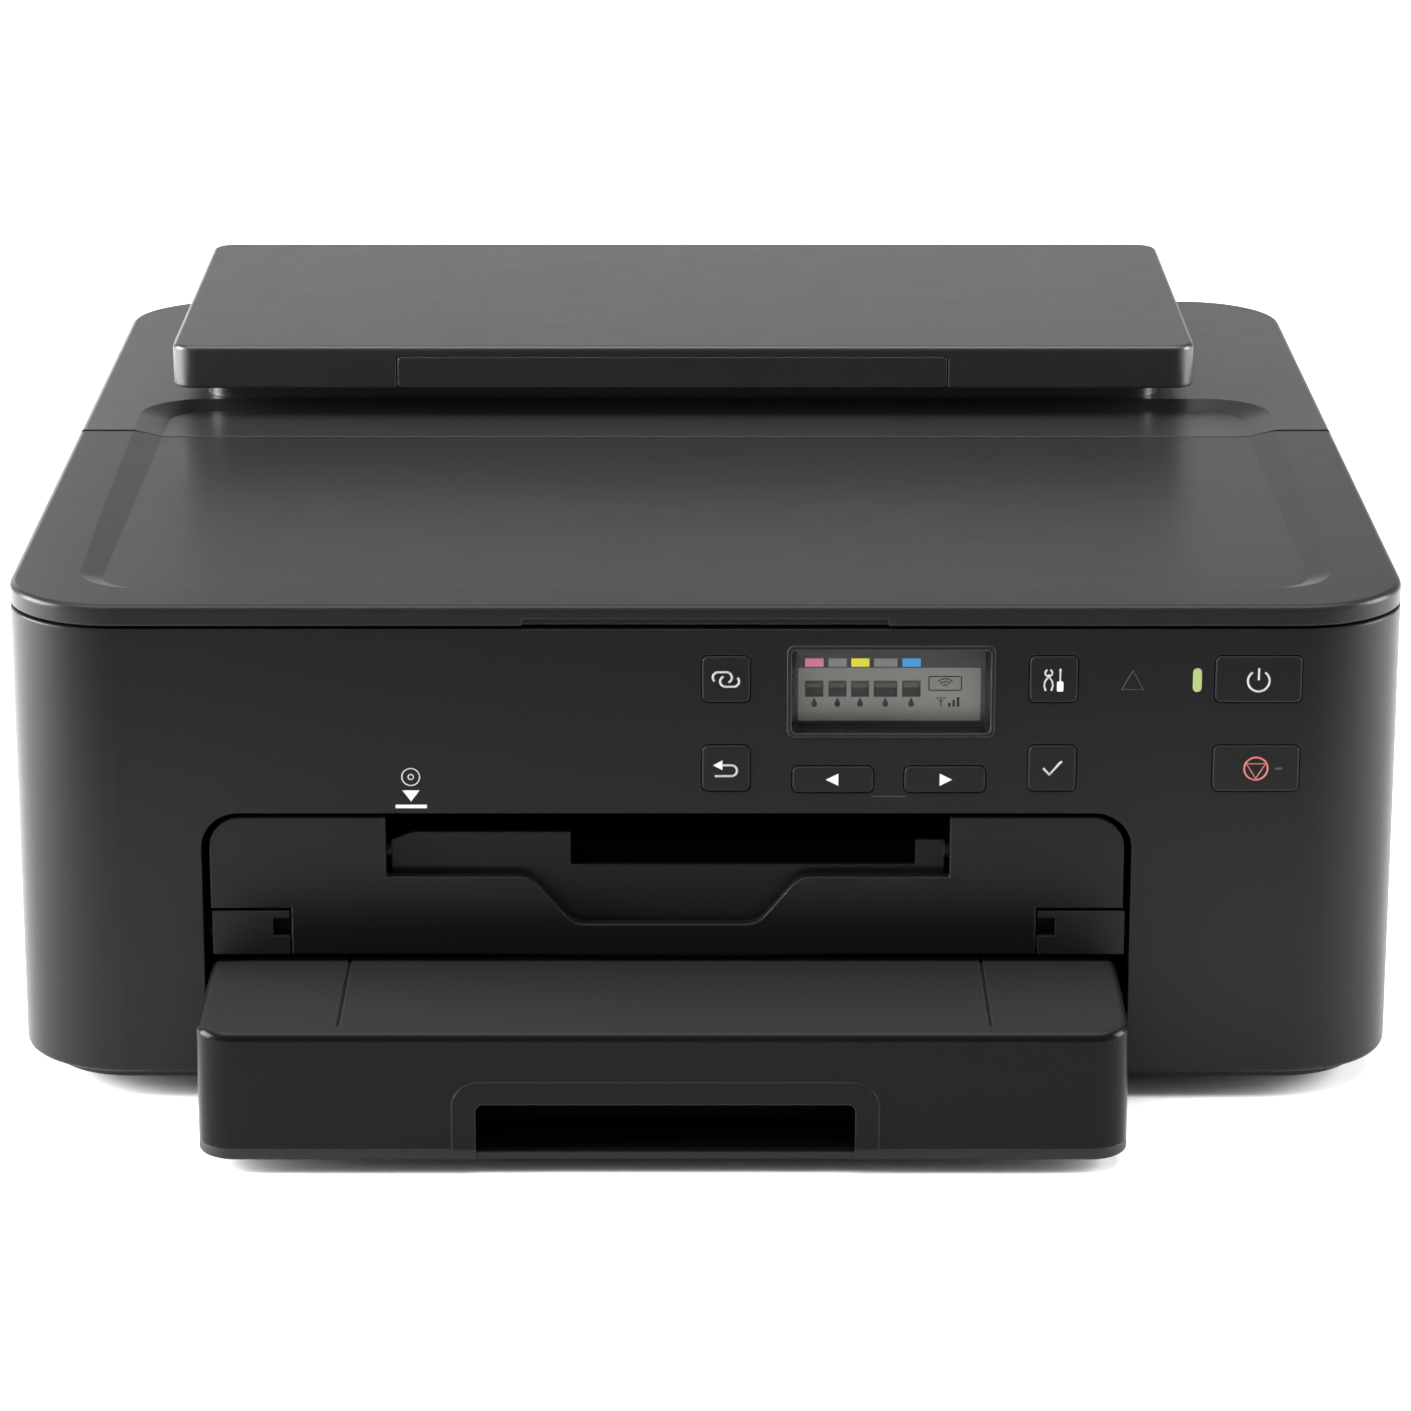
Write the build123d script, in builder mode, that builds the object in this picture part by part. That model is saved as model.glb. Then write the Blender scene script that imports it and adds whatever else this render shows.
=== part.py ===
"""An A4 inkjet printer with a front cassette and a rear tray, as separate pieces, in millimetres.

+X is the printer's right seen from the front, +Y runs to the back and +Z up. The origin is on the
floor under the middle of the whole printer, with its cassette drawn out to full length.
A depth is a distance behind the front face of the case, and is negative in front of it.
"""

import os
from math import acos, atan2, cos, degrees, hypot, pi, radians, sin, tan

from build123d import *

os.makedirs("parts", exist_ok=True)

# Case
BODY_W, BODY_D = 372.0, 365.0
REACH = 54.0  # how far the extended cassette stands out of the front
FRONT = REACH - (BODY_D + REACH) / 2
MIDDLE = FRONT + BODY_D / 2
CORNER_R, WALL = 30.0, 2.5
FOOT_H, FOOT_R = 4.0, 8.0
FOOT_X, FOOT_DEPTH = (-158.0, 148.0), (45.0, 325.0)
CASE_Z = (7.5, 132.0)
TOP_Z = (133.0, 138.3)
SKIN_Z = 134.2  # underside of the top skin
SPLIT = 189.0  # depth of the top cover's rear edge
SPLIT_GAP = 1.3
FIT = 0.3  # clearance round a loose piece
TURN = 0.05  # radial clearance of a pin in its hole

# Paper path
PAPER_X = -10.25  # middle of the paper
PAPER_HALF = 105.0
PORTAL_X, PORTAL_TOP, PORTAL_R = (-134.1, 113.3), 81.2, 10.0

# Slab over the rear tray
SLAB_X, SLAB_DEPTH, SLAB_Z = (-160.8, 147.4), (213.8, 362.0), (145.0, 158.0)
SLAB_WALL = 2.2
SLAB_PIVOT = (360.5, 141.7)  # depth, z
SUPPORT_X, SUPPORT_TOP = (-92.8, 72.8), 154.9

# Top cover hinge
COVER_PIVOT = (187.0, 135.2)
COVER_PIN_R = 1.0

# Output tray
TRAY_X, TRAY_Z, TRAY_DEPTH = (-132.0, 111.4), (41.2, 79.8), (0.8, 4.0)
TRAY_PIVOT = (3.4, 44.5)
TRAY_PIN_R = 1.5
CUT_X, CUT_SHOULDER_Z = (-85.0, 65.0), 63.0  # opening in the tray that the flap shows through
CUT_FLOOR_X, CUT_FLOOR_Z, CUT_SLOPE_W = (-35.3, 13.8), 49.7, 11.2
FLAP_X = (CUT_X[0] + 1.2, CUT_X[1] - 1.2)
FLAP_PIVOT = (6.4, 69.0)
FLAP_PIN_R, FLAP_KNUCKLE_R = 1.2, 2.1
KNUCKLE_W, HINGE_BOSS_W = 5.0, 4.6

# Cassette
CASSETTE_X, CASSETTE_Z, CASSETTE_WALL = (-132.3, 110.0), (4.0, 39.0), 2.2
NOTCH_X, NOTCH_TOP = (-59.6, 38.8), 19.6
BAY_X, BAY_END = (-136.1, 113.8), 262.0
BIN_DEPTH, BIN_Z, BIN_WALL = (9.0, 256.0), (6.3, 36.2), 2.0
POCKET_WALL, POCKET_DEPTH = 2.0, 25.0  # finger pocket behind the notch
RAIL_REACH, FLANGE_REACH = (3.4, 3.1), (4.0, 5.1)  # left and right, from the bay's and the bin's walls

# Control panel: name, x, z, width, height
BUTTONS = [
    ("link_button", 5.4, 118.4, 12.6, 12.6),
    ("back_button", 5.4, 93.8, 12.6, 12.6),
    ("left_button", 33.7, 90.7, 21.4, 7.2),
    ("right_button", 63.3, 90.7, 21.4, 7.2),
    ("setup_button", 91.6, 118.4, 12.6, 12.6),
    ("ok_button", 91.6, 93.8, 12.6, 12.6),
    ("power_button", 145.5, 118.4, 22.8, 12.6),
    ("stop_button", 145.5, 93.8, 22.8, 12.6),
]
BUTTON_R, BUTTON_PROUD = 1.6, 0.5
DISPLAY = (48.9, 114.9, 55.0, 25.4)  # x, z, width, height
LAMP = (129.4, 118.1, 2.4, 6.6)

# Print mechanism
FEED_AXIS, EJECT_AXIS = (160.0, 70.0), (95.0, 70.0)
ROLLER_R = 6.0
GEAR_X = (-146.0, -140.0)
FEED_TEETH, IDLER_TEETH, PINION_TEETH, MODULE = 40, 25, 12, 1.0
PLATE_X = (-151.5, 168.0)  # outer left plate and inner right plate faces
PLATE_T = 1.5
DECK_Z = 130.0  # the upper deck's underside, which the side plates carry
BELT_Z, BELT_R, BELT_T, BELT_DEPTH = 107.0, 4.4, 1.2, (176.0, 182.0)
BELT_ENDS = (-140.0, 158.0)
CARRIAGE_X, CARRIAGE_W = 120.0, 78.0
TANK_WIDTHS = [18.0, 12.5, 12.5, 12.5, 12.5]
TANK_GAP = 0.8
TANK_NAMES = ["large_black", "black", "cyan", "magenta", "yellow"]

# Rear tray slope, from its top to its foot
SLOPE_TOP, SLOPE_FOOT = (344.0, 133.8), (306.0, 76.0)


def front_plane(depth):
    """A sketch plane across the printer; extrude() with a positive amount runs to the front."""
    return Plane.XZ.offset(-(FRONT + depth))


def side_plane(x):
    """A sketch plane along the printer, whose first axis is y; extrude() runs to the right."""
    return Plane.YZ.offset(x)


def block(x, depth, z, mode=Mode.ADD):
    """A box between two values along each axis."""
    with Locations(((x[0] + x[1]) / 2, FRONT + (depth[0] + depth[1]) / 2, (z[0] + z[1]) / 2)):
        Box(x[1] - x[0], depth[1] - depth[0], z[1] - z[0], mode=mode)


def rod_x(pivot, radius, x, mode=Mode.ADD):
    """A cylinder along X about a pivot given as depth and z."""
    with Locations(Location(((x[0] + x[1]) / 2, FRONT + pivot[0], pivot[1]), (0, 90, 0))):
        Cylinder(radius, x[1] - x[0], mode=mode)


def rod_y(x, z, radius, depth, mode=Mode.ADD):
    """A cylinder along Y at x and z."""
    with Locations(Location((x, FRONT + (depth[0] + depth[1]) / 2, z), (90, 0, 0))):
        Cylinder(radius, depth[1] - depth[0], mode=mode)


def rod_z(x, depth, radius, z, mode=Mode.ADD):
    """An upright cylinder."""
    with Locations((x, FRONT + depth, (z[0] + z[1]) / 2)):
        Cylinder(radius, z[1] - z[0], mode=mode)


def panel(x, z, width, height, radius, depth, mode=Mode.ADD):
    """A plate with rounded corners that faces the front, between two depths."""
    with BuildSketch(front_plane(depth[0])) as face:
        with Locations((x, z)):
            RectangleRounded(width, height, radius)
    extrude(face.sketch, amount=-(depth[1] - depth[0]), mode=mode)


def side_shape(points, x, mode=Mode.ADD):
    """A straight-sided shape given by depths and heights, between two values of x."""
    with BuildSketch(side_plane(x[0])) as profile:
        with BuildLine():
            Polyline([(FRONT + depth, z) for depth, z in points], close=True)
        make_face()
    extrude(profile.sketch, amount=x[1] - x[0], mode=mode)


def body_outline(z, inset=0.0):
    """The rounded outline of the case at a height, drawn in by an inset."""
    with BuildSketch(Plane.XY.offset(z)) as outline:
        with Locations((0, MIDDLE)):
            RectangleRounded(BODY_W - 2 * inset, BODY_D - 2 * inset, CORNER_R - inset)
    return outline.sketch


def save(part, name):
    """Labels a finished piece and writes it as one STEP file."""
    part.label = name
    export_step(part, f"parts/{name}.step")


# ---------------------------------------------------------------- case and covers

with BuildPart() as outer_case:
    extrude(body_outline(CASE_Z[0]), amount=CASE_Z[1] - CASE_Z[0])
    fillet(outer_case.edges().group_by(Axis.Z)[0], 1.5)
    fillet(outer_case.edges().group_by(Axis.Z)[-1], 0.6)
    extrude(body_outline(CASE_Z[0], WALL), amount=CASE_Z[1] - CASE_Z[0], mode=Mode.SUBTRACT)
    block((-150, 150), (BODY_D - 5, BODY_D + 1), CASE_Z, mode=Mode.SUBTRACT)
    # a sleeve behind the portal stiffens its edge
    portal_mid, portal_w = sum(PORTAL_X) / 2, PORTAL_X[1] - PORTAL_X[0]
    for grow, depths, mode in ((2.0, (2.0, 9.0), Mode.ADD), (0.0, (-1.0, 10.0), Mode.SUBTRACT)):
        with BuildSketch(front_plane(depths[0])):
            with Locations((portal_mid, (PORTAL_TOP + grow) / 2 + CASE_Z[0] / 2)):
                portal = Rectangle(portal_w + 2 * grow, PORTAL_TOP + grow - CASE_Z[0])
            fillet(portal.vertices().group_by(Axis.Y)[-1], PORTAL_R + grow)
        extrude(amount=-(depths[1] - depths[0]), mode=mode)
    block(PORTAL_X, (-1, 10), (0, CASE_Z[0] + 8), mode=Mode.SUBTRACT)
    for _, x, z, width, height in BUTTONS:
        panel(x, z, width + 2 * FIT, height + 2 * FIT, BUTTON_R + FIT, (-1, WALL + 1), Mode.SUBTRACT)
    panel(DISPLAY[0], DISPLAY[1], DISPLAY[2], DISPLAY[3], 2.0, (-1, WALL + 1), Mode.SUBTRACT)
    panel(*LAMP[:2], LAMP[2], LAMP[3], LAMP[2] / 2.01, (-1, WALL + 1), Mode.SUBTRACT)
save(outer_case.part, "outer_case")

with BuildPart() as base_frame:
    extrude(body_outline(FOOT_H, 7.0), amount=4.0)
    extrude(body_outline(FOOT_H + 4.0, WALL + 0.2), amount=3.0)
    block(BAY_X, (-5, BAY_END), (0, 20), mode=Mode.SUBTRACT)
    block((BAY_X[0] - 2.6, BAY_X[1] + 2.6), (-5, 9.5), (CASE_Z[0] - 0.2, 20), mode=Mode.SUBTRACT)
    for wall_x, rail_x in (
        ((BAY_X[0] - 2.2, BAY_X[0]), (BAY_X[0], BAY_X[0] + RAIL_REACH[0])),
        ((BAY_X[1], BAY_X[1] + 2.2), (BAY_X[1] - RAIL_REACH[1], BAY_X[1])),
    ):
        block(wall_x, (12, BAY_END), (8, 41.7))
        for rail_z in ((16.5, 19.5), (23.2, 25.5)):
            block(rail_x, (15, BAY_END), rail_z)
    for foot_x in FOOT_X:
        for foot_depth in FOOT_DEPTH:
            rod_z(foot_x, foot_depth, 5, (FOOT_H - 1, FOOT_H + 1.5), mode=Mode.SUBTRACT)
save(base_frame.part, "base_frame")

with BuildPart() as rubber_feet:
    for foot_x in FOOT_X:
        for foot_depth in FOOT_DEPTH:
            rod_z(foot_x, foot_depth, FOOT_R, (0, FOOT_H))
            rod_z(foot_x, foot_depth, 4.8, (FOOT_H, FOOT_H + 1.4))
    fillet(rubber_feet.edges().group_by(Axis.Z)[0], 0.8)
save(rubber_feet.part, "rubber_feet")

REAR_COVER_X, REAR_COVER_Z = (-110.0, 90.0), (24.0, 94.0)
INLET = (-133.0, 32.0)  # x and z of the mains inlet
USB = (133.0, 23.5)
VENT_PITCH, VENTS = 5.0, 9
BEND_AXIS, BEND_R = (BODY_D - 36.6, 59.2), (24.0, 34.5)  # the bend that turns the paper upwards
with BuildPart() as rear_panel:
    block((-149.7, 149.7), (BODY_D - WALL, BODY_D), (CASE_Z[0], CASE_Z[1]))
    block(REAR_COVER_X, (BODY_D - 5, BODY_D + 1), REAR_COVER_Z, mode=Mode.SUBTRACT)
    panel(*INLET, 24.6, 16.6, 2, (BODY_D - 5, BODY_D + 1), Mode.SUBTRACT)
    panel(*USB, 13.6, 12.6, 1, (BODY_D - 5, BODY_D + 1), Mode.SUBTRACT)
    for first_x in (-134, 94):
        for vent in range(VENTS):
            panel(first_x + vent * VENT_PITCH, 112, 2.4, 24, 1.1, (BODY_D - 5, BODY_D + 1), Mode.SUBTRACT)
save(rear_panel.part, "rear_panel")

with BuildPart() as rear_cover:
    x0, x1 = REAR_COVER_X[0] + FIT, REAR_COVER_X[1] - FIT
    z0, z1 = REAR_COVER_Z[0] + FIT, REAR_COVER_Z[1] - FIT
    block((x0, x1), (BODY_D - WALL, BODY_D), (z0, z1))
    # ribs that turn the paper upwards, as quarter rings about the turning point
    for rib in range(8):
        rib_x = -98 + rib * 25
        rod_x(BEND_AXIS, BEND_R[1], (rib_x, rib_x + 2))
    rod_x(BEND_AXIS, BEND_R[0], (x0, x1), mode=Mode.SUBTRACT)
    block((x0, x1), (BODY_D - 90, BODY_D - 30), (0, 130), mode=Mode.SUBTRACT)
    # finger pocket
    panel(PAPER_X, 84, 60, 12, 3, (BODY_D - 12, BODY_D - WALL))
    panel(PAPER_X, 84, 56, 8.5, 2, (BODY_D - 10, BODY_D + 1), Mode.SUBTRACT)
save(rear_cover.part, "rear_cover")


def recess_cutter():
    """The shallow dished recess that runs over the top cover and on to the rear frame."""
    front_depth, rear_depth = 20.0, 222.0
    front_drop, rear_drop = 0.9, 2.35
    tilt = degrees(atan2(rear_drop - front_drop, rear_depth - front_depth))
    length = (rear_depth - front_depth) / cos(radians(tilt))
    floor = Plane((0, FRONT + front_depth, TOP_Z[1] - front_drop)).rotated((-tilt, 0, 0))
    with BuildPart() as cutter:
        with BuildSketch(floor):
            with Locations((0, length / 2)):
                RectangleRounded(323, length, 13)
        with BuildSketch(Plane.XY.offset(TOP_Z[1] + 1.0)):
            with Locations((0, FRONT + 123.0)):
                RectangleRounded(348, 216, 21)
        loft(ruled=True)
    return cutter.part


RECESS = recess_cutter()
POST_X = 176.0  # inner face of each hinge post; it is 5 mm wide
POST_W = 5.0

with BuildPart() as top_cover:
    extrude(body_outline(TOP_Z[0]), amount=TOP_Z[1] - TOP_Z[0])
    block((-190, 190), (SPLIT, BODY_D + 5), (130, 140), mode=Mode.SUBTRACT)
    extrude(body_outline(TOP_Z[0], 2.6), amount=SKIN_Z - TOP_Z[0], mode=Mode.SUBTRACT)
    rims = top_cover.faces().sort_by(Axis.Z)[-1].edges()
    rear_rim = rims.sort_by(Axis.Y)[-1]
    fillet(rims.filter_by(lambda edge: edge.center().Y < rear_rim.center().Y - 1), 1.6)
    fillet(top_cover.edges().filter_by(Axis.X).group_by(Axis.Y)[-1].sort_by(Axis.Z)[-1], 1.5)
    block((-172, 172), (184.0, SPLIT), (TOP_Z[0] + 0.2, SKIN_Z))
    for side in (-1, 1):
        lug = sorted((side * (POST_X - 6.0), side * (POST_X - 0.4)))
        block(lug, (184.6, SPLIT), (TOP_Z[0] + 0.2, SKIN_Z + 0.5))
        pocket = sorted((side * (POST_X - 0.4), side * (POST_X + POST_W + 0.4)))
        block(pocket, (COVER_PIVOT[0] - 2.3, SPLIT + 1), (TOP_Z[0] - 1, COVER_PIVOT[1] + 2.1),
              mode=Mode.SUBTRACT)
        bore = sorted((side * (POST_X - 5.5), side * POST_X))
        rod_x(COVER_PIVOT, COVER_PIN_R + TURN, bore, mode=Mode.SUBTRACT)
    add(RECESS, mode=Mode.SUBTRACT)
    # finger lip under the front edge
    block((-48.2, 48.2), (-1, 1.2), (TOP_Z[0] - 1, TOP_Z[0] + 1.8), mode=Mode.SUBTRACT)
save(top_cover.part, "top_cover")

WELL_X, WELL_DEPTH = (-128.0, 107.5), (240.0, 346.0)
EAR_X = [(-156.5, -150.4), (137.0, 143.1)]
LUG_X = [(-150.1, -144.0), (130.6, 136.7)]
with BuildPart() as rear_top_frame:
    extrude(body_outline(TOP_Z[0]), amount=TOP_Z[1] - TOP_Z[0])
    fillet(rear_top_frame.edges().group_by(Axis.Z)[-1], 1.6)
    extrude(body_outline(TOP_Z[0], 2.6), amount=SKIN_Z - TOP_Z[0], mode=Mode.SUBTRACT)
    extrude(body_outline(TOP_Z[0] - 6, WALL + 0.25), amount=SKIN_Z - TOP_Z[0] + 6)
    extrude(body_outline(TOP_Z[0] - 6, WALL + 2.4), amount=SKIN_Z - TOP_Z[0] + 6, mode=Mode.SUBTRACT)
    block((-190, 190), (-5, SPLIT + SPLIT_GAP), (120, 140), mode=Mode.SUBTRACT)
    block((-182, 182), (SPLIT + SPLIT_GAP, SPLIT + SPLIT_GAP + 2.4), (TOP_Z[0] - 6, SKIN_Z))
    add(RECESS, mode=Mode.SUBTRACT)
    # plinth under the slab, then the tray's well through it
    with BuildSketch(Plane.XY.offset(SKIN_Z)):
        with Locations((-7.0, FRONT + 293.0)):
            RectangleRounded(290, 123, 8)
    extrude(amount=144.2 - SKIN_Z)
    block((WELL_X[0] - 14, WELL_X[1] + 14), (WELL_DEPTH[0] - 4, WELL_DEPTH[1] + 4), (TOP_Z[1], 150),
          mode=Mode.SUBTRACT)
    block(WELL_X, WELL_DEPTH, (120, 150), mode=Mode.SUBTRACT)
    for x in EAR_X:
        block(x, (SLAB_PIVOT[0] - 2.8, SLAB_PIVOT[0] + 1.5), (TOP_Z[1] - 1, SLAB_PIVOT[1]))
        rod_x(SLAB_PIVOT, 2.8, x)
    for side, ear, lug in ((1, EAR_X[0], LUG_X[0]), (-1, EAR_X[1], LUG_X[1])):
        start, end = (ear[1], lug[1] - 1) if side > 0 else (lug[0] + 1, ear[0])
        rod_x(SLAB_PIVOT, 1.4, (start, end))
    for side in (-1, 1):
        x = sorted((side * POST_X, side * (POST_X + POST_W)))
        block(x, (185.2, SPLIT + SPLIT_GAP + 3), (TOP_Z[0] - 4, TOP_Z[0] - 1.1))
        block(x, (185.2, 188.6), (TOP_Z[0] - 4, COVER_PIVOT[1]))
        rod_x(COVER_PIVOT, 1.9, x)
        pin = sorted((side * (POST_X - 5), side * POST_X))
        rod_x(COVER_PIVOT, COVER_PIN_R, pin)
save(rear_top_frame.part, "rear_top_frame")

# ---------------------------------------------------------------- slab over the rear tray

slab_mid = (sum(SLAB_X) / 2, FRONT + sum(SLAB_DEPTH) / 2)
slab_w, slab_d = SLAB_X[1] - SLAB_X[0], SLAB_DEPTH[1] - SLAB_DEPTH[0]
with BuildPart() as rear_tray_cover:
    with BuildSketch(Plane.XY.offset(SLAB_Z[0])):
        with Locations(slab_mid):
            RectangleRounded(slab_w, slab_d, 7)
    extrude(amount=SLAB_Z[1] - SLAB_Z[0])
    fillet(rear_tray_cover.edges().group_by(Axis.Z)[-1], 1.3)
    fillet(rear_tray_cover.edges().group_by(Axis.Z)[0], 0.8)
    with BuildSketch(Plane.XY.offset(SLAB_Z[0])):
        with Locations(slab_mid):
            RectangleRounded(slab_w - 2 * SLAB_WALL, slab_d - 2 * SLAB_WALL, 5)
    extrude(amount=SLAB_Z[1] - SLAB_Z[0] - SLAB_WALL, mode=Mode.SUBTRACT)
    support_mid, support_w = sum(SUPPORT_X) / 2, SUPPORT_X[1] - SUPPORT_X[0]
    panel(support_mid, (SLAB_Z[0] + SUPPORT_TOP) / 2 - 2, support_w + 0.8, SUPPORT_TOP - SLAB_Z[0] + 4.4, 1.6,
          (SLAB_DEPTH[0] - 1, SLAB_DEPTH[0] + 4), Mode.SUBTRACT)
    for rib_x in (-120.0, -98.0, 78.0, 105.0):
        block((rib_x, rib_x + 2), (SLAB_DEPTH[0] + 1, SLAB_DEPTH[1] - 1), (SLAB_Z[0] + 2.6, SLAB_Z[1] - 1))
    for x in LUG_X:
        block(x, (SLAB_PIVOT[0] - 2.8, SLAB_PIVOT[0] + 1.5), (SLAB_PIVOT[1], SLAB_Z[0] + 2))
        rod_x(SLAB_PIVOT, 2.8, x)
        rod_x(SLAB_PIVOT, 1.4 + TURN, x, mode=Mode.SUBTRACT)
save(rear_tray_cover.part, "rear_tray_cover")

with BuildPart() as tray_cover_liner:
    with BuildSketch(Plane.XY.offset(SLAB_Z[0] + 0.6)):
        with Locations(slab_mid):
            RectangleRounded(slab_w - 2 * SLAB_WALL - 0.3, slab_d - 2 * SLAB_WALL - 0.3, 4.8)
    extrude(amount=1.8)
    block((SUPPORT_X[0] - 1, SUPPORT_X[1] + 1), (SLAB_DEPTH[0], SLAB_DEPTH[0] + 6), (140, 150),
          mode=Mode.SUBTRACT)
    for x in LUG_X:
        block((x[0] - 0.3, x[1] + 0.3), (SLAB_PIVOT[0] - 3.2, SLAB_DEPTH[1]), (140, 150), mode=Mode.SUBTRACT)
    for rib in range(7):
        rib_x = PAPER_X + (rib - 3) * 30
        block((rib_x - 0.8, rib_x + 0.8), (240, 350), (SLAB_Z[0] + 0.1, SLAB_Z[0] + 0.7))
save(tray_cover_liner.part, "tray_cover_liner")

with BuildPart() as paper_support:
    panel(support_mid, (SLAB_Z[0] + 0.3 + SUPPORT_TOP) / 2, support_w, SUPPORT_TOP - SLAB_Z[0] - 0.3, 1.4,
          (SLAB_DEPTH[0], SLAB_DEPTH[0] + 4.5))
    fillet(paper_support.faces().sort_by(Axis.Y)[0].edges(), 0.35)
    block((SUPPORT_X[0] + 4, SUPPORT_X[1] - 4), (SLAB_DEPTH[0] + 3, SLAB_DEPTH[0] + 118), (149.4, 152.0))
    for rib in range(5):
        rib_x = PAPER_X + (rib - 2) * 34
        block((rib_x - 1, rib_x + 1), (SLAB_DEPTH[0] + 3, SLAB_DEPTH[0] + 118), (148.4, 149.6))
save(paper_support.part, "paper_support")

# ---------------------------------------------------------------- rear tray

slope = (SLOPE_FOOT[0] - SLOPE_TOP[0], SLOPE_FOOT[1] - SLOPE_TOP[1])
slope_len = hypot(*slope)
along = (slope[0] / slope_len, slope[1] / slope_len)
outward = (along[1], -along[0])  # away from the slope, to the front and up


def on_slope(distance, height):
    """Depth and z of a point down the slope from its top, and out from its face."""
    return (
        SLOPE_TOP[0] + along[0] * distance + outward[0] * height,
        SLOPE_TOP[1] + along[1] * distance + outward[1] * height,
    )


REAR_ROLLER_R = 12.0
REAR_ROLLER = on_slope(0.8 * slope_len, REAR_ROLLER_R + 1.0)
TRAY_SIDE_X = [(-126.5, -124.3), (103.8, 106.0)]
with BuildPart() as rear_tray:
    side_shape([on_slope(0, 0), on_slope(slope_len, 0), (262, 68), (262, 66), (306, 73.5), on_slope(0, -2.5)],
               (TRAY_SIDE_X[0][0], TRAY_SIDE_X[1][1]))
    for x in TRAY_SIDE_X:
        side_shape([(345.8, 133.8), (345.8, 128), (308, 70), (262, 64), (262, 100), (284, 133.8)], x)
        rod_x(REAR_ROLLER, 3 + TURN, (x[0] - 1, x[1] + 1), mode=Mode.SUBTRACT)
save(rear_tray.part, "rear_tray")

with BuildPart() as rear_feed_roller:
    rod_x(REAR_ROLLER, 3, (-128, 107.4))
    rod_x(REAR_ROLLER, 7, (-40, 20))
with BuildPart() as rear_feed_tyre:
    rod_x(REAR_ROLLER, REAR_ROLLER_R, (-35, 15))
    rod_x(REAR_ROLLER, 7, (-35, 15), mode=Mode.SUBTRACT)
save(Compound(children=[rear_feed_roller.part, rear_feed_tyre.part]), "rear_feed_roller")

for name, side in (("rear_guide_left", -1), ("rear_guide_right", 1)):
    edge = PAPER_X + side * (PAPER_HALF + 0.4)
    wall = sorted((edge, edge + side * 2.8))
    foot = sorted((edge, edge + side * 7.8))
    with BuildPart() as rear_guide:
        side_shape([on_slope(3, 0.3), on_slope(42, 0.3), on_slope(40, 11), on_slope(12, 11)], wall)
        side_shape([on_slope(8, 0.3), on_slope(36, 0.3), on_slope(36, 2.3), on_slope(8, 2.3)], foot)
    save(rear_guide.part, name)

# ---------------------------------------------------------------- output tray and its flap

with BuildPart() as output_tray:
    with BuildSketch(front_plane(TRAY_DEPTH[0])):
        with Locations((sum(TRAY_X) / 2, sum(TRAY_Z) / 2)):
            plate = Rectangle(TRAY_X[1] - TRAY_X[0], TRAY_Z[1] - TRAY_Z[0])
        fillet(plate.vertices().group_by(Axis.Y)[-1], 8.5)
        with BuildSketch(mode=Mode.PRIVATE) as cut:
            with BuildLine():
                Polyline([
                    (CUT_X[0], TRAY_Z[1] + 10), (CUT_X[0], CUT_SHOULDER_Z),
                    (CUT_FLOOR_X[0] - CUT_SLOPE_W, CUT_SHOULDER_Z), (CUT_FLOOR_X[0], CUT_FLOOR_Z),
                    (CUT_FLOOR_X[1], CUT_FLOOR_Z), (CUT_FLOOR_X[1] + CUT_SLOPE_W, CUT_SHOULDER_Z),
                    (CUT_X[1], CUT_SHOULDER_Z), (CUT_X[1], TRAY_Z[1] + 10),
                ], close=True)
            make_face()
            floor_corners = cut.vertices().group_by(Axis.Y)[0]
            shoulder = cut.vertices().group_by(Axis.Y)[1].sort_by(Axis.X)
            fillet(floor_corners + shoulder[1:3], 6.5)
            fillet([shoulder[0], shoulder[3]], 3.0)
        add(cut.sketch, mode=Mode.SUBTRACT)
        for x in ((TRAY_X[0] - 1, -110.6), (88.2, TRAY_X[1] + 1)):
            with Locations((sum(x) / 2, 44.0)):
                Rectangle(x[1] - x[0], 20.4, mode=Mode.SUBTRACT)
    extrude(amount=-(TRAY_DEPTH[1] - TRAY_DEPTH[0]))
    fillet(output_tray.faces().sort_by(Axis.Y)[0].edges(), 0.4)
    for x in ((-110.6, -98.0), (76.0, 88.2)):
        rod_x(TRAY_PIVOT, 2.4, x)
        block(x, (TRAY_DEPTH[0] + 1, TRAY_DEPTH[1]), (TRAY_Z[0], TRAY_Z[0] + 8))
    rod_x(TRAY_PIVOT, TRAY_PIN_R, (-117.5, -110))
    rod_x(TRAY_PIVOT, TRAY_PIN_R, (88, 94.5))
    # bosses behind the plate that carry the flap's pins, one beyond each end of the opening
    for side, edge in ((-1, CUT_X[0]), (1, CUT_X[1])):
        near = edge + side * (KNUCKLE_W + 2 * FIT + 1.0)
        boss = sorted((near, near + side * HINGE_BOSS_W))
        block(boss, (TRAY_DEPTH[1] - 0.5, FLAP_PIVOT[0]), (FLAP_PIVOT[1] - 2.4, FLAP_PIVOT[1] + 2.4))
        rod_x(FLAP_PIVOT, 2.4, boss)
        rod_x(FLAP_PIVOT, FLAP_PIN_R, sorted((near + side, near - side * (KNUCKLE_W - 0.5))))
save(output_tray.part, "output_tray")

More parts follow.
